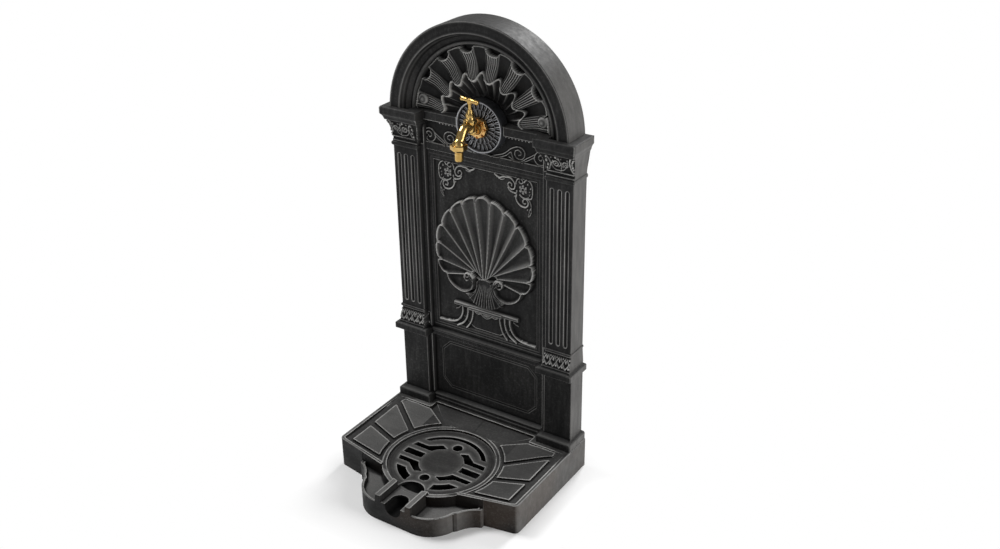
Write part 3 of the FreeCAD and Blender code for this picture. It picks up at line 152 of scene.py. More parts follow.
# meshes: a part holds points, faces, a flat map and two masks, one of wear with painted highlight and one of
# painted shade
def gridFaces(rows, cols, flip=False):
    index = np.arange(rows * cols).reshape(rows, cols)
    a, b, c, d = index[:-1, :-1], index[:-1, 1:], index[1:, 1:], index[1:, :-1]
    return np.stack((a, d, c, b) if flip else (a, b, c, d), -1).reshape(-1, 4)


def wearAndShadeOf(depth, fine=2, broad=24):   # what stands proud of its surroundings gets wear, and what lies behind gets painted shade
    small, large = depth - blurred(depth, fine), depth - blurred(depth, broad)
    wearAndHighlight = np.clip((small - 0.03) / 0.2, 0, 1) ** 1.2 + np.clip((large - 0.5) / 2.6, 0, 1) * 0.1
    paintedShade = np.clip(-small / 0.2, 0, 1) * 0.6 + np.clip(-large / 1.3, 0, 1) * 0.9
    return np.clip(wearAndHighlight, 0, 1), np.clip(paintedShade, 0, 1)


def meshPart(points, faces, flat, wearAndHighlight=None, paintedShade=None):   # keeps only the points that its faces use
    faces = [f for f in (faces if isinstance(faces, list) else [faces]) if len(f)]
    used = np.zeros(len(points), bool)
    for f in faces:
        used[f.ravel()] = True
    number = np.cumsum(used) - 1
    part = {"points": points[used], "flat": flat[used], "faces": [number[f] for f in faces]}
    for key, mask in (("wearAndHighlight", wearAndHighlight), ("paintedShade", paintedShade)):
        part[key] = np.zeros(used.sum()) if mask is None else np.asarray(mask, float).ravel()[used]
    return part


def sheetPart(x, y, z, u, v, flip=False, wearAndHighlight=None, paintedShade=None):
    points = np.stack([x, y, z], -1).reshape(-1, 3)
    faces = gridFaces(*x.shape, flip)
    return meshPart(points, faces, np.stack([u, v], -1).reshape(-1, 2), wearAndHighlight, paintedShade)


def edgeWall(x, depth, z, back, shares, run, flip):   # from a relief's edge back to another depth
    share = np.array(shares, float)[:, None]
    deep = depth * (1 - share) + back * share
    same = np.ones(share.shape)
    return sheetPart(x * same, wallDepth - deep, z * same, run * same, deep, flip)


def packFlat(parts, gap=2):   # lays the flat maps out in rows, and gives the scale that fits them to 0-1
    spans = [np.ptp(p["flat"], axis=0) + 2 * gap for p in parts]
    room = 1.12 * math.sqrt(sum(w * h for w, h in spans))   # rows never fill the square
    room = max([room] + [w for w, h in spans])
    left = low = high = 0.0
    for i in sorted(range(len(parts)), key=lambda i: -spans[i][1]):
        wide, tall = spans[i]
        if left + wide > room:
            left, low, high = 0.0, low + high, 0.0
        flat = parts[i]["flat"]
        parts[i]["flat"] = flat - flat.min(0) + (left + gap, low + gap)
        left, high = left + wide, max(high, tall)
    return 1 / max(room, low + high)


def buildPiece(name, parts, body, *nodes):   # joins the parts in one object that rides on a body
    scale = packFlat(parts)
    points, faces, start = [], [], 0
    for p in parts:
        points.append(p["points"])
        faces += [start + f for f in p["faces"]]
        start += len(p["points"])
    mesh = bpy.data.meshes.new(name)
    mesh.vertices.add(start)
    mesh.vertices.foreach_set("co", (np.vstack(points) * millimetre).astype(np.float32).ravel())
    corners = np.concatenate([f.ravel() for f in faces]).astype(np.int32)
    sizes = np.concatenate([np.full(len(f), f.shape[1], np.int32) for f in faces])
    mesh.loops.add(len(corners))
    mesh.loops.foreach_set("vertex_index", corners)
    mesh.polygons.add(len(sizes))
    mesh.polygons.foreach_set("loop_start", (np.cumsum(sizes) - sizes).astype(np.int32))
    mesh.update(calc_edges=True)
    for key in ("wearAndHighlight", "paintedShade"):
        layer = mesh.attributes.new(key, "FLOAT", "POINT")
        layer.data.foreach_set("value", np.concatenate([p[key] for p in parts]).astype(np.float32))
    flat = (np.vstack([p["flat"] for p in parts]) * scale).astype(np.float32)
    mesh.uv_layers.new(name="OFBake").data.foreach_set("uv", flat[corners].ravel())
    mesh.validate()
    mesh.polygons.foreach_set("use_smooth", np.ones(len(mesh.polygons), bool))
    piece = bpy.data.objects.new(name, mesh)
    bpy.context.scene.collection.objects.link(piece)
    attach(piece, body)
    if nodes:
        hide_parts(*nodes)
    return piece


def weld(mesh):   # joins the seam of a turned piece
    work = bmesh.new()
    work.from_mesh(mesh)
    bmesh.ops.remove_doubles(work, verts=work.verts, dist=1e-6)
    work.to_mesh(mesh)
    work.free()


# reading the solids: how far they reach, and which of their own faces are used again
def solidTree(name):
    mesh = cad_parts[name].data
    points = [v.co.copy() for v in mesh.vertices]
    return BVHTree.FromPolygons(points, [tuple(p.vertices) for p in mesh.polygons])


def reachOf(tree, x, y, z, direction, missing):   # where rays from outside meet the solid
    way = Vector(direction)
    axis = int(np.argmax(np.abs(direction)))
    out = np.full(x.size, missing, float)
    for i, (a, b, c) in enumerate(zip(x.ravel(), y.ravel(), z.ravel())):
        hit = tree.ray_cast(Vector((a, b, c)) * millimetre, way)[0]
        if hit is not None:
            out[i] = hit[axis] / millimetre
    return out.reshape(x.shape)


def keptFaces(name, keep):   # the node's own faces that keep(centre, normal, tree) accepts
    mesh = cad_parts[name].data
    tree = solidTree(name)
    chosen = [p for p in mesh.polygons if keep(p.center / millimetre, p.normal, tree)]
    used = sorted({v for p in chosen for v in p.vertices})
    number = {v: i for i, v in enumerate(used)}
    points = np.array([mesh.vertices[v].co for v in used]) / millimetre
    faces = [np.array([[number[v] for v in p.vertices] for p in chosen if len(p.vertices) == n], int)
             for n in sorted({len(p.vertices) for p in chosen})]
    return points, faces


def flatShaded(points, faces):   # every face gets its own corners, so its edges stay crisp
    loose, out, start = [], [], 0
    for f in faces:
        loose.append(points[f.ravel()])
        out.append(start + np.arange(f.size).reshape(f.shape))
        start += f.size
    return np.vstack(loose), out


# back panel: depths are measured out from the wall
panelValues = {
    "step": 1.25, "fineStep": 0.85, "fineFrom": 300,   # grid; the fine rows start at a height
    "foot": 57.4, "top": 637.3, "roughness": 0.025,
    "field": 25.8, "relief": 25.6,                     # the ground of the panel and of its raised lines
    "fieldHalf": 104, "fieldLow": 232.6, "fieldHigh": 547.5,
    "flutes": (139.95, 154.35, 168.75), "fluteLow": 264.5, "fluteHalf": 2.5, "fluteDeep": 2.6,
    "rimDrop": 0.9, "frontLimit": 62.3, "shellRim": 13.5, "shellScoop": 8.4, "shellDish": 3.4,
    "friezeRails": ((565.6, 568.4, 28.5), (569.6, 576.6, 29.5), (576.9, 578.4, 30.9)),   # low, high and depth
    "rails": ((634.6, 638.9, 40.6), (621.2, 623.2, 38), (202.7, 205, 36), (210.5, 214.8, 37.6),
              (70, 72.8, 37.2), (57, 66, 37.4)),
    # half width, low and high
    "frameLines": ((104.5, 232, 548.1), (109.5, 227.5, 552.6), (114.5, 222.5, 558)),
    "closeRows": [548.1, 565, 578.3, 621, 232], "closeColumns": [104.5, 114.6, 118, 119, 125.8, 128.7],
    "tablet": [(0, 92.5), (84, 92.5), (99.8, 108.3), (99.8, 169.8), (84, 185.6), (0, 185.6)],
}


def mouldedLines(edges, low, turn, high, first, last):   # grid lines, closer at each moulding's edge
    steps = [np.arange(low, turn, first), np.arange(turn, high + 0.01, last)]
    lines = set(np.round(np.concatenate(steps), 3))
    for e in edges:
        for offset in (-0.45, 0.0, 0.45):
            if low < e + offset < high:
                lines.add(round(e + offset, 3))
    lines = sorted(lines | {low, high})
    kept = [lines[0]]
    for line in lines[1:]:
        if line - kept[-1] > 0.3:
            kept.append(line)
    kept[-1] = high
    return np.array(kept)


def mirroredLines(lines):   # the same lines on both sides of the middle
    return np.concatenate([-lines[::-1], lines[lines > 0.2]])


# upright profile of the pilasters in rows of height, half width, inner edge and depth
profile = [
    (57.4, 188.6, 118, 54.8), (70.2, 188.6, 118, 54.8), (72.5, 186.6, 119.5, 52.6), (72.5, 181.4, 125.8, 41),
    (200.4, 181.4, 125.8, 41), (202.9, 184.5, 122, 45), (202.9, 188.0, 118.5, 55.6), (204, 188.6, 118, 56.3),
    (213.6, 188.6, 118, 56.3), (215, 187.4, 119, 55), (215, 181.6, 125.6, 50), (219, 182, 125.4, 50.3),
    (246, 180.2, 128.6, 42.2), (246.6, 181.6, 127.8, 44), (248.6, 182, 127.7, 44.6),
    (250.6, 181.6, 127.8, 44), (251, 180, 128.7, 42), (560.6, 180, 128.7, 42), (563.4, 180.2, 128.6, 42.2),
    (564, 181.6, 127.9, 43.8), (566, 182.8, 127.2, 45), (568.8, 182.8, 127.2, 45), (570.6, 182, 127.8, 44.2),
    (571.4, 180.6, 128.4, 42.4), (594, 182.6, 125.4, 46.4), (612, 186.3, 118.6, 54),
    (613, 187.4, 117.6, 55.4), (618, 188.6, 116.6, 57), (622.2, 190.6, 115.4, 59.8), (622.9, 191.4, 115, 61),
    (625, 192.3, 114.6, 62), (634.6, 192.3, 114.6, 62), (636.4, 191.6, 115.2, 61.2),
    (637.3, 190.2, 116.4, 60),
]
profileHeight = np.array([p[0] + 0.02 * i / len(profile) for i, p in enumerate(profile)])   # always rising


def along(z, column):   # one column of the profile at a height
    return np.interp(z, profileHeight, [p[column] for p in profile])


# the shell's rough border, for the wear, painted highlight and painted shade on and around it
shellBorder = [(-5, 345), (25, 350), (70, 345), (90, 363), (99, 385), (97, 410), (84, 445), (62, 470),
               (40, 486), (14, 498), (-5, 500)]


def carveShell(base, x, z):   # x is the distance from the middle line
    junctions = [(15.3, 489.4), (42.5, 477.5), (67, 460), (85, 430), (91.7, 394.7), (90.3, 362.8),
                 (77.8, 337.8)]
    tips = [(28, 494), (54.5, 479), (80.5, 452), (98, 414), (101, 381.5), (95, 350.5)]
    roots = [(2.5, 345), (6.5, 347), (10.5, 350), (15, 354), (20, 355.5), (26, 352), (32, 347)]
    crown = curvePoints([(-15.3, 489.4), (-11, 497), (0, 501), (11, 497), (15.3, 489.4)])
    lobes = [[(-2.5, 345)] + crown + [(2.5, 345)]]
    border = crown[len(crown) // 2:]
    for k, tip in enumerate(tips):
        a, b = junctions[k], junctions[k + 1]
        middle = ((a[0] + b[0]) / 2, (a[1] + b[1]) / 2)
        out = (tip[0] - middle[0], tip[1] - middle[1])
        first = (a[0] + 0.72 * out[0] + 0.10 * (b[0] - a[0]), a[1] + 0.72 * out[1] + 0.10 * (b[1] - a[1]))
        last = (b[0] + 0.72 * out[0] - 0.10 * (b[0] - a[0]), b[1] + 0.72 * out[1] - 0.10 * (b[1] - a[1]))
        arc = curvePoints([a, first, tip, last, b])
        lobes.append([roots[k]] + arc + [roots[k + 1]])
        border += arc[1:]
    curl = curvePoints([(77.8, 337.8), (73, 326), (62, 316), (47, 311), (34, 314), (25, 322), (22, 331),
                        (26, 338), (32, 344)])
    lobes.append([roots[-1]] + curl)
    border = bothSides(border + curl[1:] + [(0, 342)])
    rim, scoop, dish = (panelValues[key] for key in ("shellRim", "shellScoop", "shellDish"))
    place = near(x, z, [(-2, 305), (104, 504)], 4)
    xs, zs = x[place], z[place]
    patch = np.full(xs.shape, -30.0)
    edge = outlineInside(xs, zs, border)
    bowl = dish * np.clip(1 - ((xs / 96) ** 2 + ((zs - 408) / 92) ** 2), 0, 1)
    lip = 1.5 * np.exp(-((edge - 1.7) / 1.5) ** 2)
    for lobe in lobes:
        inside = outlineInside(xs, zs, lobe)
        across = np.clip(inside / 11.5, 0, 1)
        height = rim - 1.2 - bowl - scoop * (1 - (1 - across) ** 2.2) + lip
        patch = np.where(inside > -0.01, np.maximum(patch, height), patch)
    fall = rim * (1 + edge / 1.3)
    patch = np.where((edge <= 0) & (edge > -1.3), fall, patch)
    top = np.full(x.shape, -30.0)
    top[place] = np.where(patch > 0, 0.55 * patch + 0.45 * blurred(np.maximum(patch, 0), 1), patch)
    base = np.maximum(base, panelValues["field"] + top)
    layer = np.zeros(x.shape)
    stroke(layer, x, z, curl[:-6], 2.4, 13.2)
    for root, end in zip(roots, junctions):
        halfway = (root[0] + 0.55 * (end[0] - root[0]), root[1] + 0.55 * (end[1] - root[1]))
        stroke(layer, x, z, [root, halfway], 0.8, 10.2, 0.4)
    eye = [(22, 331), (21.5, 340), (25, 348), (32, 350.5), (38, 347.5), (39.2, 340.5), (35, 336), (30, 337.2),
           (28.4, 341.5)]
    stroke(layer, x, z, curvePoints(eye), 1.9, 15.5)
    blob(layer, x, z, (33, 342.3), 2.6, 2.6, 15.5)
    stroke(layer, x, z, curvePoints([(25.5, 321), (22, 331), (22, 340), (26.5, 347.5)]), 3.6, 13.8)
    return np.maximum(base, panelValues["relief"] + layer)


def carveFoot(base, x, z):   # the reeds that the shell stands on
    plate = [(0, 344), (12.5, 342), (14, 328), (20, 313), (30, 306.5), (40, 305), (33, 299), (26, 292),
             (14, 287.5), (0, 286.5)]
    inside = outlineInside(x, z, bothSides(plate))
    base = np.maximum(base, panelValues["field"] + 8.5 * smooth(inside / 1.8 + 0.5))
    layer = np.zeros(x.shape)
    for k in range(5):
        top, low = 2.7 * k, 5.6 * k
        line = curvePoints([(low, 288.5 + 0.3 * k * k), (top * 1.45 + 0.4 * k, 308), (top * 1.05, 326),
                            (top, 342 - 0.3 * k)])
        stroke(layer, x, z, line, 2.9, 12.2, 0.5)
    wing = curvePoints([(14.5, 336), (17, 322), (25, 311.5), (40, 305.5)])
    stroke(layer, x, z, wing, 2.2, 11.5, 0.3)
    stroke(layer, x, z, curvePoints([(15, 327), (21, 312), (31, 300), (34, 297)]), 1.7, 10.5, 0.2)
    return np.maximum(base, panelValues["relief"] + layer)


def carveShelf(base, x, z):   # the shelf under the reeds, on three curved bands
    field = panelValues["field"]
    base = np.maximum(base, field + 7.5 * inBox(x, z, -1, 68.3, 276, 283, 1.4))
    base = np.maximum(base, field + 9.5 * inBox(x, z, -1, 36, 274, 281.2, 1.8))
    apron = inBox(x, z, -1, 50, 235, 276, 1.5) * smooth((58 - x - 0.02 * (276 - z) ** 2) / 4 + 1)
    base = np.maximum(base, field + 2.2 * apron)
    layer = np.zeros(x.shape)
    bands = [
        [(50, 275), (50.5, 264), (55, 252), (64, 242.5), (77, 237.5), (102, 236)],
        [(39, 275), (39.5, 264), (43.5, 251), (51, 241), (63, 233)],
        [(28.5, 275), (29, 264), (32.5, 250), (38, 240), (44, 233)],
    ]
    for k, band in enumerate(bands):
        stroke(layer, x, z, curvePoints(band), 2.9 - 0.25 * k, 7.0 - 0.6 * k, 0.25 if k == 0 else 0.0)
    stroke(layer, x, z, curvePoints([(0, 263.5), (6, 266), (12, 270), (18, 268.5), (24, 271)]), 1.8, 6.0)
    blob(layer, x, z, (0, 268), 12, 4.5, 6)
    stroke(layer, x, z, curvePoints([(57, 272), (62, 268), (67, 266)]), 1.6, 5, 0.5)
    return np.maximum(base, panelValues["relief"] + layer)


def shifted(points, across, up):   # moves a drawn line as a whole
    return [(a + across, b + up) for a, b in points]


def roundPoints(centre, radius, turns):   # points on a circle
    return [(centre[0] + radius * math.cos(a), centre[1] + radius * math.sin(a)) for a in turns]


def carveCorners(x, z):   # a flower in a frame of scrolls
    layer = np.zeros(x.shape)
    flower, move = (81, 532), (-4.8, -3.4)
    for k in range(6):
        at = roundPoints(flower, 5.9, [math.radians(90 + 60 * k)])
        blob(layer, x, z, shifted(at, *move)[0], 2.7, 2.9, 2.6, 30 + 60 * k)
    ring = roundPoints(flower, 3.2, np.linspace(0, 2 * np.pi, 13))
    lines = [
        (ring, 1.1, 3.2, 0.0),
        ([(67.5, 541), (69, 547), (74, 551.5), (79, 549.5), (81, 545), (77.5, 542.5), (73.5, 544), (74, 547)],
         1.5, 3.0, 0.2),
        ([(83.5, 546), (88, 551), (94.5, 549), (98.5, 543), (99.6, 535), (99.4, 526), (97, 519), (91, 518)],
         1.6, 3.0, 0.2),
        ([(25.5, 549.5), (31, 546), (36, 545), (41, 547.5), (48, 548.5), (56, 548.5), (62, 544.5),
          (65.5, 538), (64, 531), (58.5, 528.8), (53.5, 532), (51.5, 536.5), (54.5, 540), (58.5, 538.5),
          (58.8, 534.5)], 1.8, 3.2, 0.25),
        ([(33, 543.5), (38, 542), (43.5, 543.5)], 1.4, 2.6, 0.4),
        ([(52, 531), (55, 526), (61, 523.5), (67.5, 523.5), (69.5, 529)], 1.6, 3.0, 0.2),
        ([(68.5, 521.5), (67.5, 514), (71, 507), (78, 502), (86, 501.5), (91, 507), (90, 514), (85, 516.5),
          (81, 513), (82, 508), (86, 508)], 1.8, 3.2, 0.25),
        ([(75, 521.5), (82, 517.5), (91, 517), (95.5, 511), (97, 503), (93.5, 497), (93, 493), (91, 486)],
         1.5, 3.0, 0.35),
        ([(97, 500), (96.5, 493), (94, 488), (91.5, 484.5)], 1.1, 2.4, 0.4),
    ]
    for points, width, rise, taper in lines:
        stroke(layer, x, z, shifted(curvePoints(points), *move), width, rise, taper)
    for centre, size in (((90.5, 543.5), 1.9), ((95.8, 536.5), 1.9), ((94, 530.5), 1.6), ((94, 524.5), 1.7),
                         ((91, 519.5), 1.7), ((68, 540.5), 1.5), ((65.6, 523), 2.3), ((64.8, 517.5), 1.6),
                         ((89.8, 497.5), 1.8), ((69, 528), 1.8)):
        blob(layer, x, z, shifted([centre], *move)[0], size, size, 3.0)
    return layer


def carveFrieze(x, z):   # running scrolls with double stems under a row of beads
    layer = np.zeros(x.shape)
    lines = [
        ([(20, 580.6), (31, 584.4), (42, 588.3), (49, 592.8), (56.7, 599.4), (64.4, 603.9), (71, 606),
          (79, 605), (84.4, 599.5), (84.8, 592.8), (81, 587), (75.6, 585), (69, 586.5), (65.6, 591.7),
          (66.8, 598), (72, 600.6), (77, 598), (77.8, 593.4), (73.3, 592)], 1.25),
        ([(26.7, 581), (39, 582.8), (49, 587.2), (57.8, 594.6), (59, 591), (62.2, 584)], 1.2),
        ([(54, 586), (62, 582.5), (72, 581.5), (80, 582.8), (89, 589.4), (97.8, 595), (105.6, 600.6),
          (110.5, 605.5)], 1.25),
        ([(82, 581), (91, 586), (100, 591.7), (104.4, 594)], 1.15),
        ([(105.6, 600.6), (103, 592), (107, 585), (113, 582.2), (120, 584), (123, 590), (122, 597),
          (117, 600), (112, 597.5), (111.5, 592.5), (115.5, 590.5), (118, 593)], 1.25),
        ([(110, 604.5), (116, 606), (122, 604)], 1.15),
    ]
    for points, width in lines:
        stroke(layer, x, z, shifted(curvePoints(points), -4.5, -3.2), width, 2.8, 0.1)
    for k in range(8):
        blob(layer, x, z, (43.6 + 6.43 * k, 615.2), 1.9, 1.9, 3.4)
    return layer * ((z < 621) & (x < 118))


def carveCapital(x, z):   # two round flowers between curling leaves
    layer = np.zeros(x.shape)
    move = (8.3, 5.9)
    for centre in ((141.7, 591.7), (159.4, 592.2)):
        ring = roundPoints(centre, 4.6, np.linspace(0, 2 * np.pi, 17))
        stroke(layer, x, z, shifted(ring, *move), 1.5, 3.4)
        blob(layer, x, z, shifted([centre], *move)[0], 1.9, 1.9, 3.6)
    lines = [
        ([(148, 604), (149, 598), (151, 591), (150.5, 582)], 1.3),
        ([(165, 602), (164, 596), (157, 583.5), (150.5, 580)], 1.2),
        ([(137, 597), (133.5, 588), (139, 581), (150, 579.5)], 1.2),
        ([(146, 586), (150.5, 590), (155, 586)], 1.1),
        ([(171, 606), (168, 598), (168, 588), (172, 580), (176, 577.5)], 1.4),
        ([(175.5, 603.5), (171.8, 596), (172.2, 587), (176, 582)], 1.3),
        ([(127, 604), (131, 597), (131.5, 588), (128, 579)], 1.4),
        ([(124, 575.5), (140, 576), (158, 575.5), (176, 575.5)], 1.2),
    ]
    for points, width in lines:
        stroke(layer, x, z, shifted(curvePoints(points), *move), width, 3.4)
    for cx, cz, across, high in ((143.3, 603.3, 2.8, 2.6), (146.5, 600.5, 2, 2), (125.5, 602, 2.2, 3),
                                 (124.8, 594.5, 2.6, 3.4), (126.6, 587, 2.4, 3.2), (125, 580.5, 2.2, 3),
                                 (177, 592, 2, 4.6), (151.5, 593.5, 2.2, 2.8), (164.5, 601, 2.0, 1.8),
                                 (153, 601.5, 1.6, 1.6), (135, 602.5, 1.8, 1.8)):
        blob(layer, x, z, shifted([(cx, cz)], *move)[0], across, high, 3.8)
    return layer


def carvePlinthLeaves(x, z):   # crossed leaves at the foot of the shaft
    layer = np.zeros(x.shape)
    for k in range(5):
        a = 130 + 12.4 * k
        for side in (-1, 1):
            line = [(a - 6.2 * side, 222.5), (a - 1.5 * side, 229), (a + 4.5 * side, 240.5)]
            stroke(layer, x, z, curvePoints(line), 1.5, 3.0, 0.15)
        blob(layer, x, z, (a, 225.5), 2.4, 2.9, 3.2)
        blob(layer, x, z, (a + 6.2, 235.5), 2.2, 4.2, 3.4)
        blob(layer, x, z, (a, 240), 2.0, 2.4, 2.8)
    return layer


def panelDepths(x, z, tree):   # the solid's depths, with sharper mouldings and the flutes
    v = panelValues
    solid = wallDepth - reachOf(tree, x, np.full(x.shape, -400.0), z, (0, 1, 0), wallDepth - 20)
    ax = np.abs(x)
    behind, plinth = 35, 118.5   # depth of the panel beside the field, and its half width
    onField = (ax < v["fieldHalf"]) & (z > v["fieldLow"]) & (z < v["fieldHigh"])
    depth = np.where(onField, v["field"], solid)
    depth = np.where(ax < 119, depth, np.minimum(depth, behind))
    pillar = smooth((ax - along(z, 2)) / 1.2 + 0.5)
    front = behind + (along(z, 3) - behind) * pillar
    depth = np.where(pillar > 0.01, np.maximum(depth, front), depth)
    groove = np.zeros(x.shape)
    for centre in v["flutes"]:
        away = segmentDistance(ax, z, (centre, v["fluteLow"]), (centre, v["fieldHigh"]))[0]
        groove = np.maximum(groove, smooth((v["fluteHalf"] - away) / 1.3 + 0.5))
    depth = depth - v["fluteDeep"] * groove
    fromTap = np.hypot(x, z - tapLevel)
    depth = np.where((ax < 113) & (z > 621) & (fromTap >= 46.6), 40, depth)
    for low, high, top in v["friezeRails"]:
        depth = np.maximum(depth, top * inBox(ax, z, -200, plinth + 1, low, high, 1.0))
    for low, high, top in v["rails"]:
        inside = inBox(ax, z, -200, plinth, low, high, 1.2)
        depth = np.where(inside * (fromTap > 47) > 0.02, np.maximum(depth, top * inside), depth)
    for half, low, high in v["frameLines"]:
        beside = np.where(ax < half, np.minimum(np.abs(z - high), np.abs(z - low)), 99)
        line = np.minimum(np.abs(ax - half), beside)
        edge = (z > low - 1) & (z < high + 1) & (ax < half + 1)
        depth = depth + 0.3 * np.clip(1 - (line / 1.3) ** 2, 0, 1) * edge   # a thin frame line
    return depth


def panelWearAndShading(depth, x, ax, z, raised, tablet):   # bright worn edges and raised lines, painted shade in corners and on steps, painted highlight in the shell's scoops
    wearAndHighlight, paintedShade = wearAndShadeOf(depth)
    # painted shade on the sunk grounds of the frieze, the capitals and the plinth leaves
    friezeShade = 0.8 * inBox(ax, z, -1, 117, 580, 621, 2) + 0.8 * inBox(ax, z, 121, 186, 574, 611, 2)
    shade = np.maximum(friezeShade, 0.6 * inBox(ax, z, 122, 182, 219.5, 244.5, 2))
    slope = np.gradient(depth, axis=1) / np.gradient(x, axis=1)
    fall = -np.gradient(depth, axis=0) / np.gradient(z, axis=0)
    inShell = outlineInside(ax, z, shellBorder)
    outsideShell = smooth((-4 - inShell) / 6)
    # painted shade on steep sides, and on the tops of ledges outside the field
    steep = smooth((np.abs(slope) - 0.8) / 0.6) * (ax < 176) * outsideShell
    ledge = 0.75 * smooth((fall - 0.7) / 0.5) * outsideShell * ((ax > 120) | (z < 236) | (z > 560))
    wearAndHighlight = wearAndHighlight * (1 - 0.85 * np.maximum(steep, ledge))
    shade = np.maximum(shade, 0.85 * np.maximum(steep, 0.8 * ledge))
    paintedShade = np.clip(np.maximum(paintedShade, shade) * (1 - wearAndHighlight), 0, 1)
    calm = np.maximum(0.35 * smooth((inShell - 3) / 3), 0.5 * inBox(ax, z, -1, 34, 286, 342, 3))
    calm = np.maximum(calm, 0.6 * smooth((4 - np.abs(tablet)) / 2))
    for low, high in ((56, 73), (200, 216)):   # the plinth's two mouldings
        calm = np.maximum(calm, 0.5 * inBox(ax, z, -1, 190, low, high, 1))
    wearAndHighlight = wearAndHighlight * (1 - calm)
    # painted highlight on the side of each scoop that faces left, a little more towards the top
    scoopHighlight = 0.02 + 0.06 * smooth((z - 400) / 80) + 0.3 * smooth(slope / 0.8)
    wearAndHighlight = np.maximum(wearAndHighlight, scoopHighlight * smooth((inShell - 1) / 4))
    paintedShade = paintedShade * (1 - 0.7 * smooth((inShell + 1) / 3))
    return np.maximum(wearAndHighlight, 0.75 * smooth((raised - 1.3) / 1.5)), paintedShade


def panelGrid():   # rows close up at the mouldings, and the last columns follow each moulding's width
    v = panelValues
    edges = [p[0] for p in profile] + v["closeRows"]
    rows = mouldedLines(edges, v["foot"], v["fineFrom"], v["top"], v["step"], v["fineStep"])
    shaft = 177.5
    half = mouldedLines(v["closeColumns"], 0.0, 119, shaft, v["fineStep"], 1.05)
    share = np.array([0.2, 0.42, 0.64, 0.82, 0.93, 1.0])
    ends = shaft + share[None, :] * (along(rows, 1)[:, None] - shaft)
    inner = np.repeat(mirroredLines(half)[None, :], len(rows), 0)
    x = np.hstack([-ends[:, ::-1], inner, ends])
    return x, np.repeat(rows[:, None], x.shape[1], 1)


def carvedPanel():
    v = panelValues
    x, z = panelGrid()
    wide = along(z, 1)
    inset = np.sign(x) * np.minimum(np.abs(x), wide - 0.8)   # read just inside the edge
    ax = np.abs(inset)
    depth = panelDepths(inset, z, solidTree("back_panel"))
    depth = 0.5 * depth + 0.5 * blurred(depth, 1)
    for carve in (carveShell, carveFoot, carveShelf):
        depth = carve(depth, ax, z)
    capital, foot = inBox(ax, z, 121, 189, 575, 612, 2.5), inBox(ax, z, 122, 182, 219.5, 244.5, 1.5)
    raised = carveCorners(ax, z) + carveFrieze(ax, z)
    raised = raised + carveCapital(ax, z) * capital + carvePlinthLeaves(ax, z) * foot
    depth = depth + raised - 3.0 * capital - 1.8 * foot
    tablet = outlineInside(ax, z, bothSides(v["tablet"]))   # a sunk line with a low lip inside it
    for at, rise in ((1.2, 0.25), (-1.4, -0.7)):
        depth = depth + rise * np.clip(1 - ((tablet - at) / 1.6) ** 2, 0, 1)
    edge = wide - np.abs(x)
    depth = depth - v["rimDrop"] * np.clip(1 - edge / 1.1, 0, 1) ** 2
    depth = depth + unevenSkin(depth.shape, 5, 10, v["roughness"])
    depth = np.minimum(depth, v["frontLimit"])
    wearAndHighlight, paintedShade = panelWearAndShading(depth, x, ax, z, raised, tablet)
    parts = [sheetPart(x, wallDepth - depth, z, x, z, False, wearAndHighlight, paintedShade)]
    for side in (0, -1):   # side walls back to the wall
        parts.append(edgeWall(x[:, side], depth[:, side], z[:, side], 0, [0, 0.03, 0.34, 0.67, 1], z[:, side],
                              side == -1))
    topX = np.abs(x[-1])
    back = np.where(topX < 137, 20, np.where(topX < 174.4, 50, 0))
    parts.append(edgeWall(x[-1], depth[-1], z[-1], back, np.linspace(0, 1, 7), x[-1], False))
    return parts


# the fan of the arch, around its own centre
archValues = {
    "centre": 629.5, "outer": 176,
    "pitch": 22.5, "ribStep": 22.5 / 11, "ribSamples": 6, "fluteHalf": 6.1, "petalRim": 132.6,
    "fluteRim": 131.5, "notchDeep": 9.5, "leafTip": 89.5, "leafValley": 75.5, "leafRib": 5.7, "leafLean": 2.5,
    "leafFoot": 19.5, "roughness": 0.04,
}


def fanDepth(radius, degrees):   # recessed smooth petals between ribbed flutes, each with a bite at its end
    v = archValues
    pitch, half = v["pitch"], v["pitch"] / 2
    toFlute = degrees - half - pitch * np.round((degrees - half) / pitch)
    toPetal = half - np.abs(toFlute)
    out = smooth((radius - 80) / 50)
    petal = 24.0 + 10.5 * out - 3.0 * np.clip(1 - (toPetal / 5.2) ** 2, 0, 1)
    ribs = 0.6 * np.cos(2 * np.pi * toFlute / v["ribStep"])
    border = 1.0 * np.exp(-((np.abs(toFlute) - v["fluteHalf"] + 0.5) / 0.5) ** 2)
    flute = 33.0 + 2.6 * out + ribs + border - 3.6 * np.exp(-((radius - 106) / 12) ** 2)
    onFlute = smooth((v["fluteHalf"] - np.abs(toFlute)) / 0.8 + 0.5)
    bite = np.sqrt(np.clip(1 - (toFlute / (v["fluteHalf"] - 0.3)) ** 2, 0, 1))
    rim = np.where(bite > 0, v["fluteRim"] - v["notchDeep"] * bite, v["petalRim"])
    rim = np.where(np.abs(degrees - 90) > 74, v["fluteRim"], rim)
    surface = petal + (flute - petal) * onFlute + 1.8 * np.exp(-((rim - radius - 1.5) / 1.3) ** 2)
    lip = 1.5 * np.exp(-((rim - radius - 1.0) / 1.0) ** 2) * (0.7 + 0.3 * onFlute)
    shine = lip + 0.95 * onFlute * np.clip(np.cos(2 * np.pi * toFlute / v["ribStep"]), 0, 1) ** 2
    return surface, smooth((rim - radius) / 1.2 + 0.5) * smooth((radius - 60) / 5), shine, onFlute


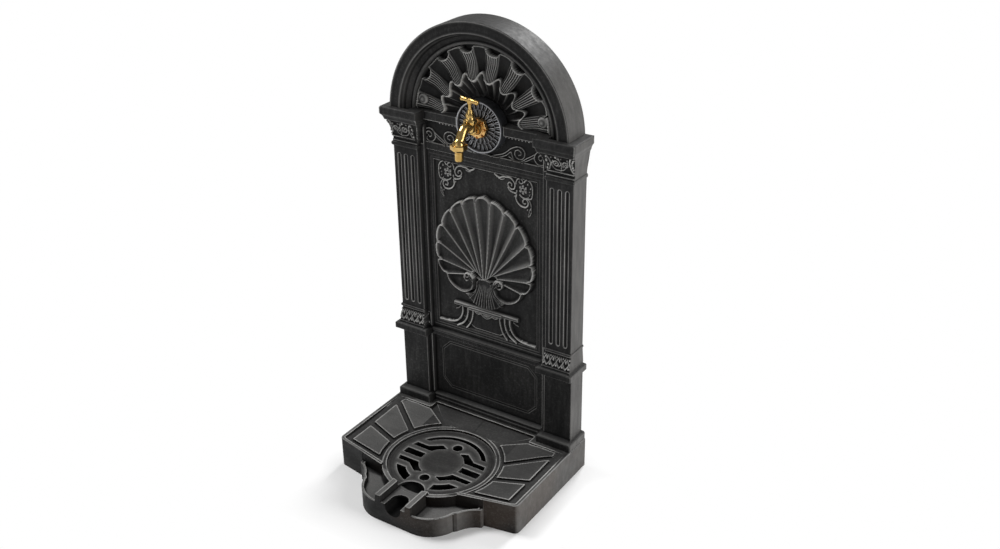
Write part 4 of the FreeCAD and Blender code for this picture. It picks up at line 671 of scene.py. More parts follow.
def leafDepth(radius, degrees):   # a ruffled bowl around the rosette, with two ribs in each leaf
    v = archValues
    pitch = v["pitch"]
    turn = degrees / pitch - np.round(degrees / pitch)
    tip = (0.5 + 0.5 * np.cos(2 * np.pi * turn)) ** 1.35
    edge = v["leafValley"] + (v["leafTip"] - v["leafValley"]) * tip
    high = 35.5 - 6.0 * tip
    inward = np.clip((edge - radius) / (edge - 48.5), 0, 1)
    lean = (turn * pitch + v["leafLean"] * inward + pitch / 2) % pitch - pitch / 2
    away = (np.abs(lean) - v["leafRib"]) * np.radians(radius)
    rib = 2.6 * np.exp(-(away / 1.3) ** 2) * smooth(inward / 0.1) * (1 - 0.5 * inward)
    hollow = 2.4 * np.clip(1 - (lean / v["leafRib"]) ** 2, 0, 1) * smooth(inward / 0.25)
    surface = high + (v["leafFoot"] - high) * inward ** 0.85 + rib - hollow
    lip = 2.6 * np.exp(-((edge - radius - 1.5) / 1.4) ** 2)
    shine = 1.8 * np.exp(-((edge - radius - 1.7) / 2.1) ** 2)
    shine = shine + 0.95 * np.exp(-(away / 0.9) ** 2) * smooth(inward / 0.1) * (1 - inward)
    return surface + lip, smooth((edge - radius) / 1.1 + 0.5), shine


def carvedArch():
    v = archValues
    turns = np.linspace(0, 180, int(round(180 / v["ribStep"] * v["ribSamples"])) + 1)
    radii = np.concatenate([np.arange(44, 133.5, 0.9), [134, 134.6, 135.6, 137.5], np.arange(139, 151, 1.6),
                            [152.2, 153.4, 154.4, 155, 155.6, 156.4, 158, 160, 163, 166.5, 170, 173, 174.6,
                             175.6, 176]])
    angle, radius = np.meshgrid(np.radians(turns), radii)
    x, z = radius * np.cos(angle), v["centre"] + radius * np.sin(angle)
    degrees = np.degrees(angle)
    bands = [(40, 21), (133.2, 21), (134.4, 35.5), (136.5, 37.6), (139, 37.2), (141.5, 34.6), (146, 36.5),
             (150, 42), (152.8, 47.5), (154.2, 48.6), (155.2, 51.9), (156.5, 52.7), (158.5, 52.0),
             (160, 51.5), (171.5, 51.5), (173, 52.2), (175, 52.7), (176, 51.6)]
    depth = np.interp(radius, [b[0] for b in bands], [b[1] for b in bands])
    surface, onFan, shine, onFlute = fanDepth(radius, degrees)
    onFan = onFan * (radius < 133.3)
    depth = depth + (surface - depth) * onFan
    # painted shade on the recessed petals between the flutes
    shine, shadowed = shine * onFan, 0.75 * onFan * (1 - onFlute)
    surface, onLeaf, leafShine = leafDepth(radius, degrees)
    depth = depth + (surface - depth) * onLeaf
    # the leaf ring gets half painted shade
    shine, shadowed = shine + (leafShine - shine) * onLeaf, shadowed + (0.5 - shadowed) * onLeaf
    away = np.hypot(np.abs(x) - 117, z - 655)   # the rolled end of the last flute
    roll = 27 + 11 * np.sqrt(np.clip(1 - (away / 11) ** 2, 0, 1))
    depth = np.where(away < 10.5, roll, depth)
    rollShine = 0.7 * np.exp(-((away - 7.5) / 1.6) ** 2) + 0.5 * np.exp(-(away / 3.5) ** 2)
    shine = np.where(away < 10.5, rollShine, shine)
    # painted shade, deepest in the middle of the arch's hollow
    hollow = (radius > 133.5) & (radius < 151)
    shadowed = np.where(hollow, 0.8 * np.exp(-((radius - 143.5) / 5.5) ** 2), shadowed)
    depth = np.where(np.hypot(x, z - tapLevel) < 45.8, 21, depth)   # hidden behind the rosette
    depth = depth + unevenSkin(depth.shape, 9, 10, v["roughness"])
    wearAndHighlight, paintedShade = wearAndShadeOf(depth, 2, 14)
    rings = sum(np.exp(-((radius - at) / 0.6) ** 2) * high
                for at, high in ((136.6, 0.4), (155.8, 0.45), (174.9, 0.5)))
    wearAndHighlight = np.where(radius > 133.5, np.maximum(rings, 0.2 * wearAndHighlight), shine)
    slope = np.abs(np.gradient(depth, axis=0) / np.gradient(radius, axis=0))
    # painted shade on the steep walls of the arch's bands
    shadowed = np.maximum(shadowed, 0.75 * smooth((slope - 0.8) / 0.6) * (radius > 133.5) * (radius < 158))
    paintedShade = np.clip(np.maximum(paintedShade, shadowed) * (1 - wearAndHighlight), 0, 1)
    parts = [sheetPart(x, wallDepth - depth, z, np.radians(180 - degrees) * 150, radius, True, wearAndHighlight, paintedShade)]
    parts.append(edgeWall(x[-1], depth[-1], z[-1], 0, [0, 0.015, 0.04, 0.25, 0.5, 0.75, 1],
                          np.radians(180 - turns) * v["outer"], True))
    return parts


def panelBackFaces():   # the solid's hollow back, bosses and foot, as seen from the wall's side
    def keep(centre, normal, tree):
        x, z = centre.x, centre.z
        if abs(normal.x) > 0.7 and x * normal.x > 0 and abs(x) > 178:
            return False
        outward = Vector((x, 0, z - archValues["centre"]))
        onArch = outward.z > 0 and outward.length > archValues["outer"] - 2
        if onArch and outward.normalized().dot(normal) > 0.7:
            return False
        if normal.z < -0.7 and z < 57.6:
            return True
        if normal.z > 0.7 and z > 621 and (centre.y < wallDepth - 19 or abs(x) > 137):
            return False
        start = (centre + normal * 0.05) * millimetre
        return normal.y > -0.3 and tree.ray_cast(start, Vector((0, 1, 0)))[0] is None

    points, faces = flatShaded(*keptFaces("back_panel", keep))
    # behind the carved sides
    limit = np.where(points[:, 2] < panelValues["top"], along(points[:, 2], 1) - 0.1, 200)
    points[:, 0] = np.clip(points[:, 0], -limit, limit)
    return meshPart(points, faces, points[:, [0, 2]] * 0.5)


backPanel = buildPiece("backPanel", carvedPanel() + carvedArch() + [panelBackFaces()], "fountain",
                       "back_panel")
print("back panel", len(backPanel.data.polygons))


# plates cut from a field that is positive inside their outline
def fieldGradient(inside, step):
    gz, gx = np.gradient(inside, step)
    size = np.maximum(np.hypot(gx, gz), 1e-6)
    return gx / size, gz / size


def snapToOutline(x, y, insideOf, step):   # moves the grid's outer points onto the outline
    inside = insideOf(x, y)
    ring = np.pad(inside > 0, 1)
    touch = np.zeros(inside.shape, bool)
    for i in range(3):
        for j in range(3):
            touch |= ring[i:i + inside.shape[0], j:j + inside.shape[1]]
    move = (touch & (inside <= 0)) | ((inside > 0) & (inside < 0.3 * step))
    for _ in range(3):
        gx, gy = fieldGradient(insideOf(x, y), step)
        now = insideOf(x, y)
        x = np.where(move, x - now * gx, x)
        y = np.where(move, y - now * gy, y)
    kept = move | (inside > 0)
    return x, y, kept, move


def plateFaces(kept, move):   # cells whose corners are all on the plate, and the edges that they end at
    index = np.arange(kept.size).reshape(kept.shape)
    full = kept[:-1, :-1] & kept[:-1, 1:] & kept[1:, 1:] & kept[1:, :-1]
    full &= ~(move[:-1, :-1] & move[:-1, 1:] & move[1:, 1:] & move[1:, :-1])
    quads = np.stack([index[:-1, :-1], index[:-1, 1:], index[1:, 1:], index[1:, :-1]], -1)[full]
    pairs = np.concatenate([quads[:, [0, 1]], quads[:, [1, 2]], quads[:, [2, 3]], quads[:, [3, 0]]])
    keys = pairs[:, 0] * kept.size + pairs[:, 1]
    back = pairs[:, 1] * kept.size + pairs[:, 0]
    return quads, pairs[~np.isin(keys, back)]


def wallPart(points, edges, foot, levels):   # walls that drop from the open edges
    a, b = points[edges[:, 0]], points[edges[:, 1]]
    rows = []
    for t in levels:
        for p in (a, b):
            q = p.copy()
            q[:, 2] = p[:, 2] + (foot - p[:, 2]) * t
            rows.append(q)
    count = len(a)
    out = np.concatenate(rows)
    faces = []
    for k in range(len(levels) - 1):
        one = 2 * k * count + np.arange(count)
        faces.append(np.stack([one, one + 2 * count, one + 3 * count, one + count], -1))
    around = np.arctan2(out[:, 1] - 20, out[:, 0]) * 190   # about the run along the walls
    return meshPart(out, np.concatenate(faces), np.stack([around, out[:, 2]], -1))


# base tray: x and y are measured from the middle of the wall
trayValues = {
    "step": 1.0, "roughness": 0.025, "cliff": 0.9,   # a cliff is a step that the grid can't follow
    "corners": [(190, 0), (190, -224), (181.7, -233.8), (82.4, -251)], "cornerRadius": 10,
    "apron": [(130.2, -221), (130.2, -248.6), (96.6, -282.7), (38, -footDepth)],
    "apronBow": 59.7, "apronHollow": (150, -300, 54),
    "wellAxis": -182, "wellRadius": 90, "well": (7.9, 39.2), "ringRadius": 105, "ringTop": 46,
    "dishSlope": 0.1, "slotHalf": 16.6, "slotBend": -305.6, "slotAxis": 36.2, "slotFloor": 36.1,
}


def trayInside(x, y):   # distance to the tray's outline, positive inside it
    v = trayValues
    ax, radius = np.abs(x), v["cornerRadius"]
    half, side = v["corners"][1]
    tray = outlineInside(ax, y, [(-5, 0)] + v["corners"] + [(-5, v["corners"][-1][1])])
    corner = radius - np.hypot(ax - (half - radius), y - side)
    tray = np.where((ax > half - radius) & (y < side), corner, tray)
    apron = outlineInside(ax, y, [(-5, v["apron"][0][1])] + v["apron"] + [(-5, -footDepth)])
    bow = v["apronBow"] - np.hypot(ax - v["apron"][-1][0], y + footDepth - v["apronBow"])
    across, forward, reach = v["apronHollow"]
    hollow = np.hypot(ax - across, y - forward) - reach
    return np.maximum(tray, np.minimum(np.maximum(apron, bow), hollow))


def wellAway(x, y):   # distance from the well's axis
    return np.hypot(x, y - trayValues["wellAxis"])


def slotAway(x, y):   # distance from the spill slot, negative inside it
    half, bend = trayValues["slotHalf"], trayValues["slotBend"]
    return np.where(y < bend, np.abs(x), np.hypot(x, y - bend)) - half


def trayPlan(x, y):   # the tray's top without the well and the spill slot
    return np.minimum(np.minimum(trayInside(x, y), wellAway(x, y) - trayValues["wellRadius"]), slotAway(x, y))


def dishGround(x, y):   # the dish rises from the well's ring to the rim
    v = trayValues
    return v["ringTop"] + v["dishSlope"] * (wellAway(x, y) - v["ringRadius"])


def trayFaces():   # the solid's well, slot and underside
    lap = 0.6
    wellEdge, slotEdge = trayValues["wellRadius"] + lap, trayValues["slotHalf"] + lap
    wellLow, wellHigh = trayValues["well"]

    def keep(centre, normal, tree):
        x, y, z = centre.x, centre.y - wallDepth, centre.z
        if wellAway(x, y) < wellEdge and wellLow < z < wellHigh:
            return True
        if abs(x) < slotEdge and y < -180 and 19 < z < 40.1:   # the slot and the passage to the well
            mouth = normal.y < -0.9 and y < 1 - footDepth
            return (z < trayValues["slotFloor"] or normal.z < 0.5) and not mouth
        start = (centre + normal * 0.05) * millimetre
        return tree.ray_cast(start, Vector((0, 0, 1)))[0] is not None or (normal.z < -0.7 and z < 0.1)

    points, faces = flatShaded(*keptFaces("base_tray", keep))
    x, y, z = points[:, 0], points[:, 1] - wallDepth, points[:, 2]
    # painted shade inside the well and the spill slot
    shadowed = (wellAway(x, y) < wellEdge) | ((np.abs(x) < slotEdge) & (y < -180) & (z > 19))
    return meshPart(points, faces, points[:, :2] * 0.5, None, np.where(shadowed, 0.95, 0.0))


def slotMouth():   # the front wall under the open end of the slot
    half, lap = trayValues["slotHalf"], 0.3
    x = np.repeat(np.linspace(-half - lap, half + lap, 49)[None, :], 2, 0)
    z = trayValues["slotAxis"] - np.sqrt(np.clip(half ** 2 - x ** 2, 0, None))
    z[0] = 0
    return sheetPart(x, np.full(x.shape, wallDepth - footDepth + 0.05), z, x, z)


def trayHeights(tree, x, y):   # read from above; 40 where a ray meets nothing
    return reachOf(tree, x, y + wallDepth, np.full(x.shape, 100.0), (0, 0, -1), 40)


def settleOnSteps(tree, x, y, top, free, step):   # moves the points beside a step onto its edge
    best = np.full(x.shape, step)
    newX, newY = x.copy(), y.copy()
    rows, cols = x.shape
    for down, right in ((0, 1), (0, -1), (1, 0), (-1, 0), (1, 1), (1, -1), (-1, 1), (-1, -1)):
        i, j = np.mgrid[1:rows - 1, 1:cols - 1]
        touch = free[1:-1, 1:-1] & (np.abs(top[i + down, j + right] - top[i, j]) > trayValues["cliff"])
        i, j = i[touch], j[touch]
        dx, dy = x[i + down, j + right] - x[i, j], y[i + down, j + right] - y[i, j]
        close, far = np.zeros(len(i)), np.ones(len(i))
        for _ in range(6):
            middle = (close + far) / 2
            px, py = x[i, j] + dx * middle, y[i, j] + dy * middle
            level = trayHeights(tree, px, py)
            same = np.abs(level - top[i, j]) < np.abs(level - top[i + down, j + right])
            close, far = np.where(same, middle, close), np.where(same, far, middle)
        away = close * np.hypot(dx, dy)
        closer = away < best[i, j]
        i, j, dx, dy, away, close = (column[closer] for column in (i, j, dx, dy, away, close))
        best[i, j] = away
        newX[i, j], newY[i, j] = x[i, j] + dx * close, y[i, j] + dy * close
    return newX, newY


def splitAtSteps(points, quads, cliff):   # whole cells, the level corners of broken cells, and the steep rest
    level = points[:, 2][quads]
    broken = np.ptp(level, axis=1) > cliff
    high = level > ((level.max(1) + level.min(1)) / 2)[:, None]
    count = high.sum(1)
    odd = broken & (count != 2)
    lone = np.where(count == 1, high.argmax(1), (~high).argmax(1))
    turned = np.take_along_axis(quads, (lone[:, None] + np.arange(4)) % 4, 1)[odd]
    return [quads[~broken], turned[:, [1, 2, 3]]], [quads[broken & ~odd], turned[:, [0, 1, 3]]]


def trayTop(tree, x, y, kept, move, step):   # heights of the grid's points, read just inside the outline
    inset = trayPlan(x, y)
    gx, gy = fieldGradient(inset, step)
    pull = np.clip(0.6 - inset, 0, 1.2) * (inset < 0.6)
    top = np.where(kept, trayHeights(tree, x + pull * gx, y + pull * gy), 40)
    beside = highestBeside(top)
    lip = kept & move & (np.abs(x) > 42) & (y < -254) & (top < 33) & (beside < 37)
    return np.where(lip, beside, top)   # the apron's lip keeps one level along its edge


def trayWearAndShading(x, y, top, kept, step):   # bright worn brinks, with painted shade on the steep sides below them
    outer = trayInside(x, y)
    wearAndHighlight, paintedShade = wearAndShadeOf(np.where(kept, top, blurred(top, 6)), 1, 12)
    steep = smooth((np.hypot(*np.gradient(top, step)) - 0.6) / 0.5)
    lower = top < -blurred(-top, 2) - 0.4   # the foot of each step, where painted shade goes
    brink = steep * ~lower * (outer > 2.2)
    wide = np.maximum(brink, 0.75 * highestBeside(brink) * ~lower)
    # painted shade at the foot of each steep step
    paintedShade = np.maximum(paintedShade, 0.95 * steep * lower) * (1 - brink)
    paintedShade = np.where(lower, paintedShade, paintedShade * smooth((outer - 1) / 3))
    wearAndHighlight = np.maximum(wearAndHighlight * (1 - 0.9 * steep), 0.85 * wide)
    tileTop = (np.abs(x) > 92) & (y < -50) & (y > -238) & (top > dishGround(x, y) + 2.4)
    # more silver along the slot and the outer edge, the apron's front painted lighter, painted highlight on
    # the tile tops, more on the left tiles
    for wornAndLit in (0.8 * np.exp(-(slotAway(x, y) / 1.1) ** 2), 0.45 * np.exp(-((outer - 1) / 1.3) ** 2),
                 0.26 * smooth((-252 - y) / 6) * smooth((outer - 1) / 2),
                 np.where(tileTop, np.where(x < 0, 0.2, 0.08), 0), 0.035 * smooth((outer - 5) / 3)):
        wearAndHighlight = np.maximum(wearAndHighlight, wornAndLit)
    return wearAndHighlight, paintedShade


def carvedTray():
    v, step = trayValues, trayValues["step"]
    tree = solidTree("base_tray")
    wide, deep, past = v["corners"][0][0] + 1.4, footDepth + 1.4, 1.2   # the grid reaches past the outline
    x, y = np.meshgrid(np.linspace(-wide, wide, int(2 * wide / step)),
                       np.linspace(-deep, past, int((deep + past) / step)))
    x, y, kept, move = snapToOutline(x, y, trayPlan, step)
    top = trayTop(tree, x, y, kept, move, step)
    x, y = settleOnSteps(tree, x, y, top, kept & ~move, step)
    top = top - 0.4 * np.clip(1 - trayInside(x, y) / 1.2, 0, 1) ** 2 * (y < -3)
    top = top + unevenSkin(top.shape, 3, 8, v["roughness"])
    wearAndHighlight, paintedShade = trayWearAndShading(x, y, top, kept, step)
    points = np.stack([x, y + wallDepth, top], -1).reshape(-1, 3)
    quads, edges = plateFaces(kept, move)
    level, steepSides = splitAtSteps(points, quads, v["cliff"])
    parts = [meshPart(points, level, points[:, :2], wearAndHighlight, paintedShade)]
    loose, faces = flatShaded(points, steepSides)   # steep sides get painted shade under a crisp edge
    parts.append(meshPart(loose, faces, loose[:, :2] * 0.5, None, np.full(len(loose), 0.8)))
    middle = (points[edges[:, 0]] + points[edges[:, 1]]) / 2
    outside = trayInside(middle[:, 0], middle[:, 1] - wallDepth) < 1
    parts.append(wallPart(points, edges[outside], 0.0, [0, 0.03, 0.1, 0.5, 0.92, 1]))
    return parts + [slotMouth(), trayFaces()]


baseTray = buildPiece("baseTray", carvedTray(), "fountain", "base_tray")
print("base tray", len(baseTray.data.polygons))


# lift-out grate
grateValues = {
    "step": 1.0, "edgeRound": 0.9, "slotGrow": 0.5, "seat": 39.0, "thick": 5.0, "radius": 96.5,
    "slotsOuter": 78.5, "slotsInner": 41, "fingerHole": 8.5, "fingerAt": 51, "notch": 25, "notchAt": -94,
    "grooves": (90.5, 39), "middleSlot": 7, "backArc": 71.5, "frontArc": 64.5, "arcHalf": 64.5, "arcFrom": 44,
    "frontGap": 25.8, "bentSlot": [(79, 19.3), (16.4, 19.3), (16.4, 39), (27.5, 44), (49, 29), (79, 29)],
}


def grateInside(x, y):   # centred on the grate, positive on its metal
    v = grateValues
    ax, ay = np.abs(x), np.abs(y)
    radius = np.hypot(x, y)
    within = v["slotsOuter"] - radius
    band = np.minimum(within, radius - v["slotsInner"])
    slots = np.minimum(band, np.maximum(v["middleSlot"] - ay, outlineInside(ax, ay, v["bentSlot"])))
    backArc = np.minimum.reduce([within, radius - v["backArc"], y - v["arcFrom"], v["arcHalf"] - ax])
    front = np.minimum.reduce([within, radius - v["frontArc"], -v["arcFrom"] - y, v["arcHalf"] - ax,
                               ax - v["frontGap"]])
    holes = v["fingerHole"] - np.hypot(x, ay - v["fingerAt"])
    notch = v["notch"] - np.hypot(x, y - v["notchAt"])
    gaps = np.maximum.reduce([slots, backArc, front, holes, notch])
    return np.minimum(v["radius"] - radius, -gaps - v["slotGrow"])


def carvedGrate():
    v, step = grateValues, grateValues["step"]
    wide = v["radius"] + 1.1
    line = np.linspace(-wide, wide, int(2 * wide / step))
    x, y = np.meshgrid(line, line)
    x, y, kept, move = snapToOutline(x, y, grateInside, step)
    inside, radius = grateInside(x, y), np.hypot(x, y)
    outerGroove, innerGroove = v["grooves"]
    top = v["thick"] - 1.1 * np.clip(1 - inside / v["edgeRound"], 0, 1) ** 2
    top = top - 0.4 * np.exp(-(radius - outerGroove) ** 2)
    top = top - 0.35 * np.exp(-((radius - innerGroove) / 1.2) ** 2)
    top = np.where(kept, top, v["thick"])
    wearAndHighlight = 0.6 * np.exp(-((inside - 0.6) / 0.7) ** 2) + 0.16 * np.exp(-(inside / 6) ** 2) * (radius < 84)
    # painted shade in the grate's two grooves
    paintedShade = 0.5 * sum(np.exp(-((radius - groove) / 0.9) ** 2) for groove in v["grooves"])
    points = np.stack([x, y + wallDepth + trayValues["wellAxis"], v["seat"] + top], -1).reshape(-1, 3)
    quads, edges = plateFaces(kept, move)
    under = points.copy()
    under[:, 2] = v["seat"]
    walls = wallPart(points, edges, v["seat"], [0, 1])
    walls["flat"] = walls["flat"] * 0.6
    # painted shade on the walls of the slots and the outer edge
    walls["paintedShade"] = np.full(len(walls["points"]), 0.9)
    return [meshPart(points, quads, points[:, :2], wearAndHighlight, paintedShade),
            meshPart(under, quads[:, ::-1], under[:, :2]), walls]


drainGrate = buildPiece("drainGrate", carvedGrate(), "grate", "drain_grate")
print("drain grate", len(drainGrate.data.polygons))


# rosette behind the tap
rosetteValues = {
    "leaves": 28, "innerLeaves": 20, "back": 23.5, "seat": 36, "rim": 43.5, "field": 39.6,
    "hole": 10.6, "bead": 29.3, "radius": 45.4,
}


def carvedRosette():
    v = rosetteValues
    turns = np.radians(np.arange(0, 360.01, 0.72))
    radii = np.concatenate([[v["hole"], 11], np.arange(12, 42, 0.65),
                            [42.2, 42.9, 43.6, 44.4, 45, v["radius"]]])
    angle, radius = np.meshgrid(turns, radii)
    back, field = v["back"], v["field"]

    def leaves(count, low, high, shift, rise):   # a ring of pointed leaves with a groove down each
        share = (radius - low) / (high - low)
        phase = (angle / (2 * np.pi) * count + shift) % 1 - 0.5
        wide = 0.34 * np.sqrt(np.clip(1 - (2 * share - 1) ** 2, 0, 1)) * (0.75 + 0.25 * share)
        body = np.clip(1 - (np.abs(phase) / np.maximum(wide, 0.02)) ** 2, 0, 1) * (np.abs(share - 0.5) < 0.5)
        outline = np.exp(-((body - 0.45) / 0.32) ** 2) * (body > 0)
        groove = 1.1 * np.exp(-(phase / 0.09) ** 2) * (body > 0.5)
        return np.maximum(rise * np.sqrt(body) - groove, 0), outline

    outer, outerLine = leaves(v["leaves"], 29.5, 41.2, 0, 2.6)
    inner, innerLine = leaves(v["innerLeaves"], 17, 29, 0.5, 2.4)
    depth = np.where(radius < 17, field, field - 2.2 + outer + inner)
    fromBead = np.abs(radius - v["bead"])
    depth = np.maximum(depth, field + 0.5 - 3 * np.clip(fromBead / 0.9, 0, 1))
    border = v["rim"] - 1.6 * ((radius - 43.4) / 2.0) ** 2
    depth = np.where(radius > 41.4, np.maximum(border, back + 8), depth)
    shine = 0.95 * np.maximum(outerLine, innerLine) + 0.8 * np.exp(-((radius - 43.2) / 0.8) ** 2)
    wearAndHighlight = np.clip(shine + 0.5 * np.exp(-(fromBead / 0.5) ** 2), 0, 1)
    # painted shade over the field outside the silver lines
    paintedShade = np.clip(0.95 - 1.6 * wearAndHighlight, 0, 1) * (radius < 41.6)
    x, z = radius * np.cos(angle), tapLevel + radius * np.sin(angle)
    parts = [sheetPart(x, wallDepth - depth, z, x, z, True, wearAndHighlight, paintedShade)]
    for edge, flip in ((-1, True), (0, False)):
        parts.append(edgeWall(x[edge], depth[edge], z[edge], back, [0, 0.5, 1], turns * radii[edge], flip))
    ring = np.array([v["radius"], 41.9, 41.9, 14, 14, v["hole"]])[:, None]   # the back, with a recess
    deep = np.array([back, back, v["seat"], v["seat"], back, back])[:, None] + 0 * turns
    x, z = ring * np.cos(turns), tapLevel + ring * np.sin(turns)
    parts.append(sheetPart(x, wallDepth - deep, z, x * 0.8, (z - tapLevel) * 0.8 + 3 * deep, True))
    return parts


rosette = buildPiece("rosette", carvedRosette(), "fountain", "rosette")
print("rosette", len(rosette.data.polygons))


# tap: cast body, headworks, handle, flange and union
tapValues = {
    "stem": -66, "outlet": -100, "castVoxel": 0.55, "handleVoxel": 0.45, "handleHeight": 681,
    "handleTurn": -13, "bar": [(0, 4.6), (3, 4.0), (6, 3.6), (12, 3.6), (15.5, 4.0), (18, 4.3), (19.6, 3.5),
                               (20.4, 1.4)],
    "body": [(625.6, 2), (626.4, 5), (628.6, 7.6), (633, 8.9), (638, 9.1), (642, 8.8)],
    "spout": [(-64, 637.5, 7.6), (-71, 639.6, 8.4), (-78, 639.4, 8.6), (-84, 637, 8.4), (-89, 633, 8.4),
              (-92.8, 627.8, 8.3), (-95.4, 623, 8.3), (-97.4, 620.2, 8.7), (-99, 618.6, 9.2),
              (-100, 617.4, 10.4), (-100, 610.2, 10.4)],
    "neck": [(-48.6, 9.6), (-50.5, 9.0), (-53, 8.0), (-62, 7.6)],
    "bonnet": [(640.4, 8.6, 0), (641, 9.5, 1), (642, 10.1, 1), (647.6, 10.1, 1), (649.4, 9.2, 1),
               (650.4, 7.9, 0), (651.6, 7.2, 0), (654.4, 6.8, 0), (654.4, 0.1, 0)],
    "gland": [(653.6, 5.4, 0), (653.8, 6.2, 1), (654.6, 6.7, 1), (658.6, 6.4, 1), (660.6, 5.6, 0),
              (664.4, 4.6, 0), (666.2, 3.9, 0), (666.2, 2.9, 0)],
    "union": [(617.4, 10, 0), (617.4, 11.4, 0), (617, 12.3, 1), (616.2, 12.9, 1), (609.4, 12.9, 1),
              (608.4, 12.2, 1), (607.8, 10.4, 0), (605.6, 8.9, 0), (605.5, 8.2, 0), (605.5, 7.55, 0)],
    "boss": [(675, 3.6), (676, 4.4), (679, 4.6), (683, 4.4), (684.6, 3.4), (685.1, 1.5)],
    "tail": [(607.8, 7.4, 0), (604.4, 7.4, 0), (603.9, 6.5, 0), (603.2, 6.5, 0), (602.8, 7.1, 0),
             (591.2, 7.1, 0), (589.4, 6.6, 0), (589, 6.2, 0), (589, 5.2, 0), (601, 5.1, 0)],
}


def spunPart(profile, y, flats=6, sides=72):   # rows of height, radius and share of flat sides
    turns = np.linspace(0, 2 * np.pi, sides + 1)
    face = np.pi / flats
    flat = np.minimum(1 / np.cos((turns + face) % (2 * face) - face), 1.115)
    high, radius, share = (np.array(column)[:, None] for column in zip(*profile))
    reach = radius * (1 + share * (flat[None, :] - 1))
    run = np.concatenate([[0], np.cumsum(np.hypot(np.diff(high[:, 0]), np.diff(radius[:, 0])))])[:, None]
    return sheetPart(reach * np.cos(turns), wallDepth + y + reach * np.sin(turns), high + 0 * reach,
                     turns * 10 + 0 * reach, run + 0 * reach, profile[0][0] > profile[-1][0])


def sweptShell(points, radii, side, sides=32):   # a closed round tube through points that lie in one plane
    points, side = np.array(points, float), np.array(side, float)
    way = np.gradient(points, axis=0)
    way /= np.linalg.norm(way, axis=1)[:, None]
    other = np.cross(way, side)
    turns = np.linspace(0, 2 * np.pi, sides, endpoint=False)
    ring = np.cos(turns)[None, :, None] * side + np.sin(turns)[None, :, None] * other[:, None, :]
    rings = (points[:, None, :] + np.array(radii)[:, None, None] * ring).reshape(-1, 3)
    rings[:, 1] += wallDepth
    faces = []
    for k in range(len(points) - 1):
        for i in range(sides):
            a, b = k * sides + i, k * sides + (i + 1) % sides
            faces.append((a, b, b + sides, a + sides))
    faces += [tuple(range(sides))[::-1], tuple(range((len(points) - 1) * sides, len(points) * sides))]
    return rings * millimetre, faces


def castPiece(name, shells, voxel, body, *nodes):   # overlapping shells grown into one casting
    mesh = bpy.data.meshes.new(name + "Shells")
    points, faces, start = [], [], 0
    for p, f in shells:
        points += [tuple(q) for q in p]
        faces += [tuple(start + i for i in face) for face in f]
        start += len(p)
    mesh.from_pydata(points, [], faces)
    rough = bpy.data.objects.new(name + "Rough", mesh)
    bpy.context.scene.collection.objects.link(rough)
    grown = rough.modifiers.new("grown", "REMESH")
    grown.mode = "VOXEL"
    grown.voxel_size = voxel * millimetre
    soft = rough.modifiers.new("soft", "SMOOTH")
    soft.factor, soft.iterations = 0.5, 9
    ready = rough.evaluated_get(bpy.context.evaluated_depsgraph_get())
    final = bpy.data.meshes.new_from_object(ready)
    final.name = name
    final.polygons.foreach_set("use_smooth", np.ones(len(final.polygons), bool))
    piece = bpy.data.objects.new(name, final)
    bpy.context.scene.collection.objects.link(piece)
    bpy.data.objects.remove(rough)
    bpy.data.meshes.remove(mesh)
    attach(piece, body)
    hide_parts(*nodes)
    return piece


def upright(rows):   # a round shell around the tap's stem
    return sweptShell([(0, tapValues["stem"], z) for z, r in rows], [r for z, r in rows], (1, 0, 0))


def tapCasting():
    v = tapValues
    places = np.linspace(0, len(v["spout"]) - 1, 41)
    y, z, radii = (np.interp(places, range(len(v["spout"])), column) for column in zip(*v["spout"]))
    spout = sweptShell([(0, a, b) for a, b in zip(y, z)], radii, (1, 0, 0))
    neck = sweptShell([(0, y, tapLevel) for y, r in v["neck"]], [r for y, r in v["neck"]], (1, 0, 0))
    return castPiece("tapCasting", [spout, upright(v["body"]), neck], v["castVoxel"], "fountain", "tap_body")


def tapBar():
    v = tapValues
    turn = math.radians(v["handleTurn"])
    bar = [(-d, r) for d, r in v["bar"][:0:-1]] + v["bar"]
    line = [(d * math.cos(turn), v["stem"] + d * math.sin(turn), v["handleHeight"]) for d, r in bar]
    shells = [sweptShell(line, [r for d, r in bar], (0, 0, 1)), upright(v["boss"])]
    return castPiece("tapBar", shells, v["handleVoxel"], "handle", "tap_handle", "handle_pin")


flangeValues = {"sides": 8, "holes": 8, "holeCircle": 15.5, "holeRadius": 2.2, "holeDeep": 3.6,
                "collar": 49.3}


def flangePart():   # eight-sided, with a raised collar and a ring of small holes
    v = flangeValues
    turns = np.linspace(0, 2 * np.pi, 145)
    radii = np.array([10.3, 10.9, 12.4, 12.9, 13.3, 14, 14.7, 15.4, 16.1, 16.8, 17.4, 18, 18.5, 18.9, 19, 19,
                      19, 19])
    angle, radius = np.meshgrid(turns, radii)
    height = np.interp(radius, [10.3, 12.4, 13, 17.2, 18.2, 19],
                       [v["collar"], v["collar"], 48.0, 48.2, 47.9, 46.6])
    height[-4:] = np.array([45.4, 43.6, 42, 40.5])[:, None]   # down to the rosette
    face = np.pi / v["sides"]
    edge = 0.95 / np.cos(angle % (2 * face) - face) - 1
    radius = radius * (1 + edge * smooth((radius - 13.5) / 5.0)) * (1 - 0.06 * smooth((radius - 12) / 6))
    x, up = radius * np.cos(angle), radius * np.sin(angle)
    for hole in roundPoints((0, 0), v["holeCircle"], np.linspace(0, 2 * np.pi, v["holes"], endpoint=False)):
        away = np.hypot(x - hole[0], up - hole[1])
        height = height - v["holeDeep"] * smooth((v["holeRadius"] - away) / 0.8) * (height > 47.4)
    return sheetPart(x, wallDepth - height, tapLevel + up, x + 0.4 * (49.5 - height), up, True)


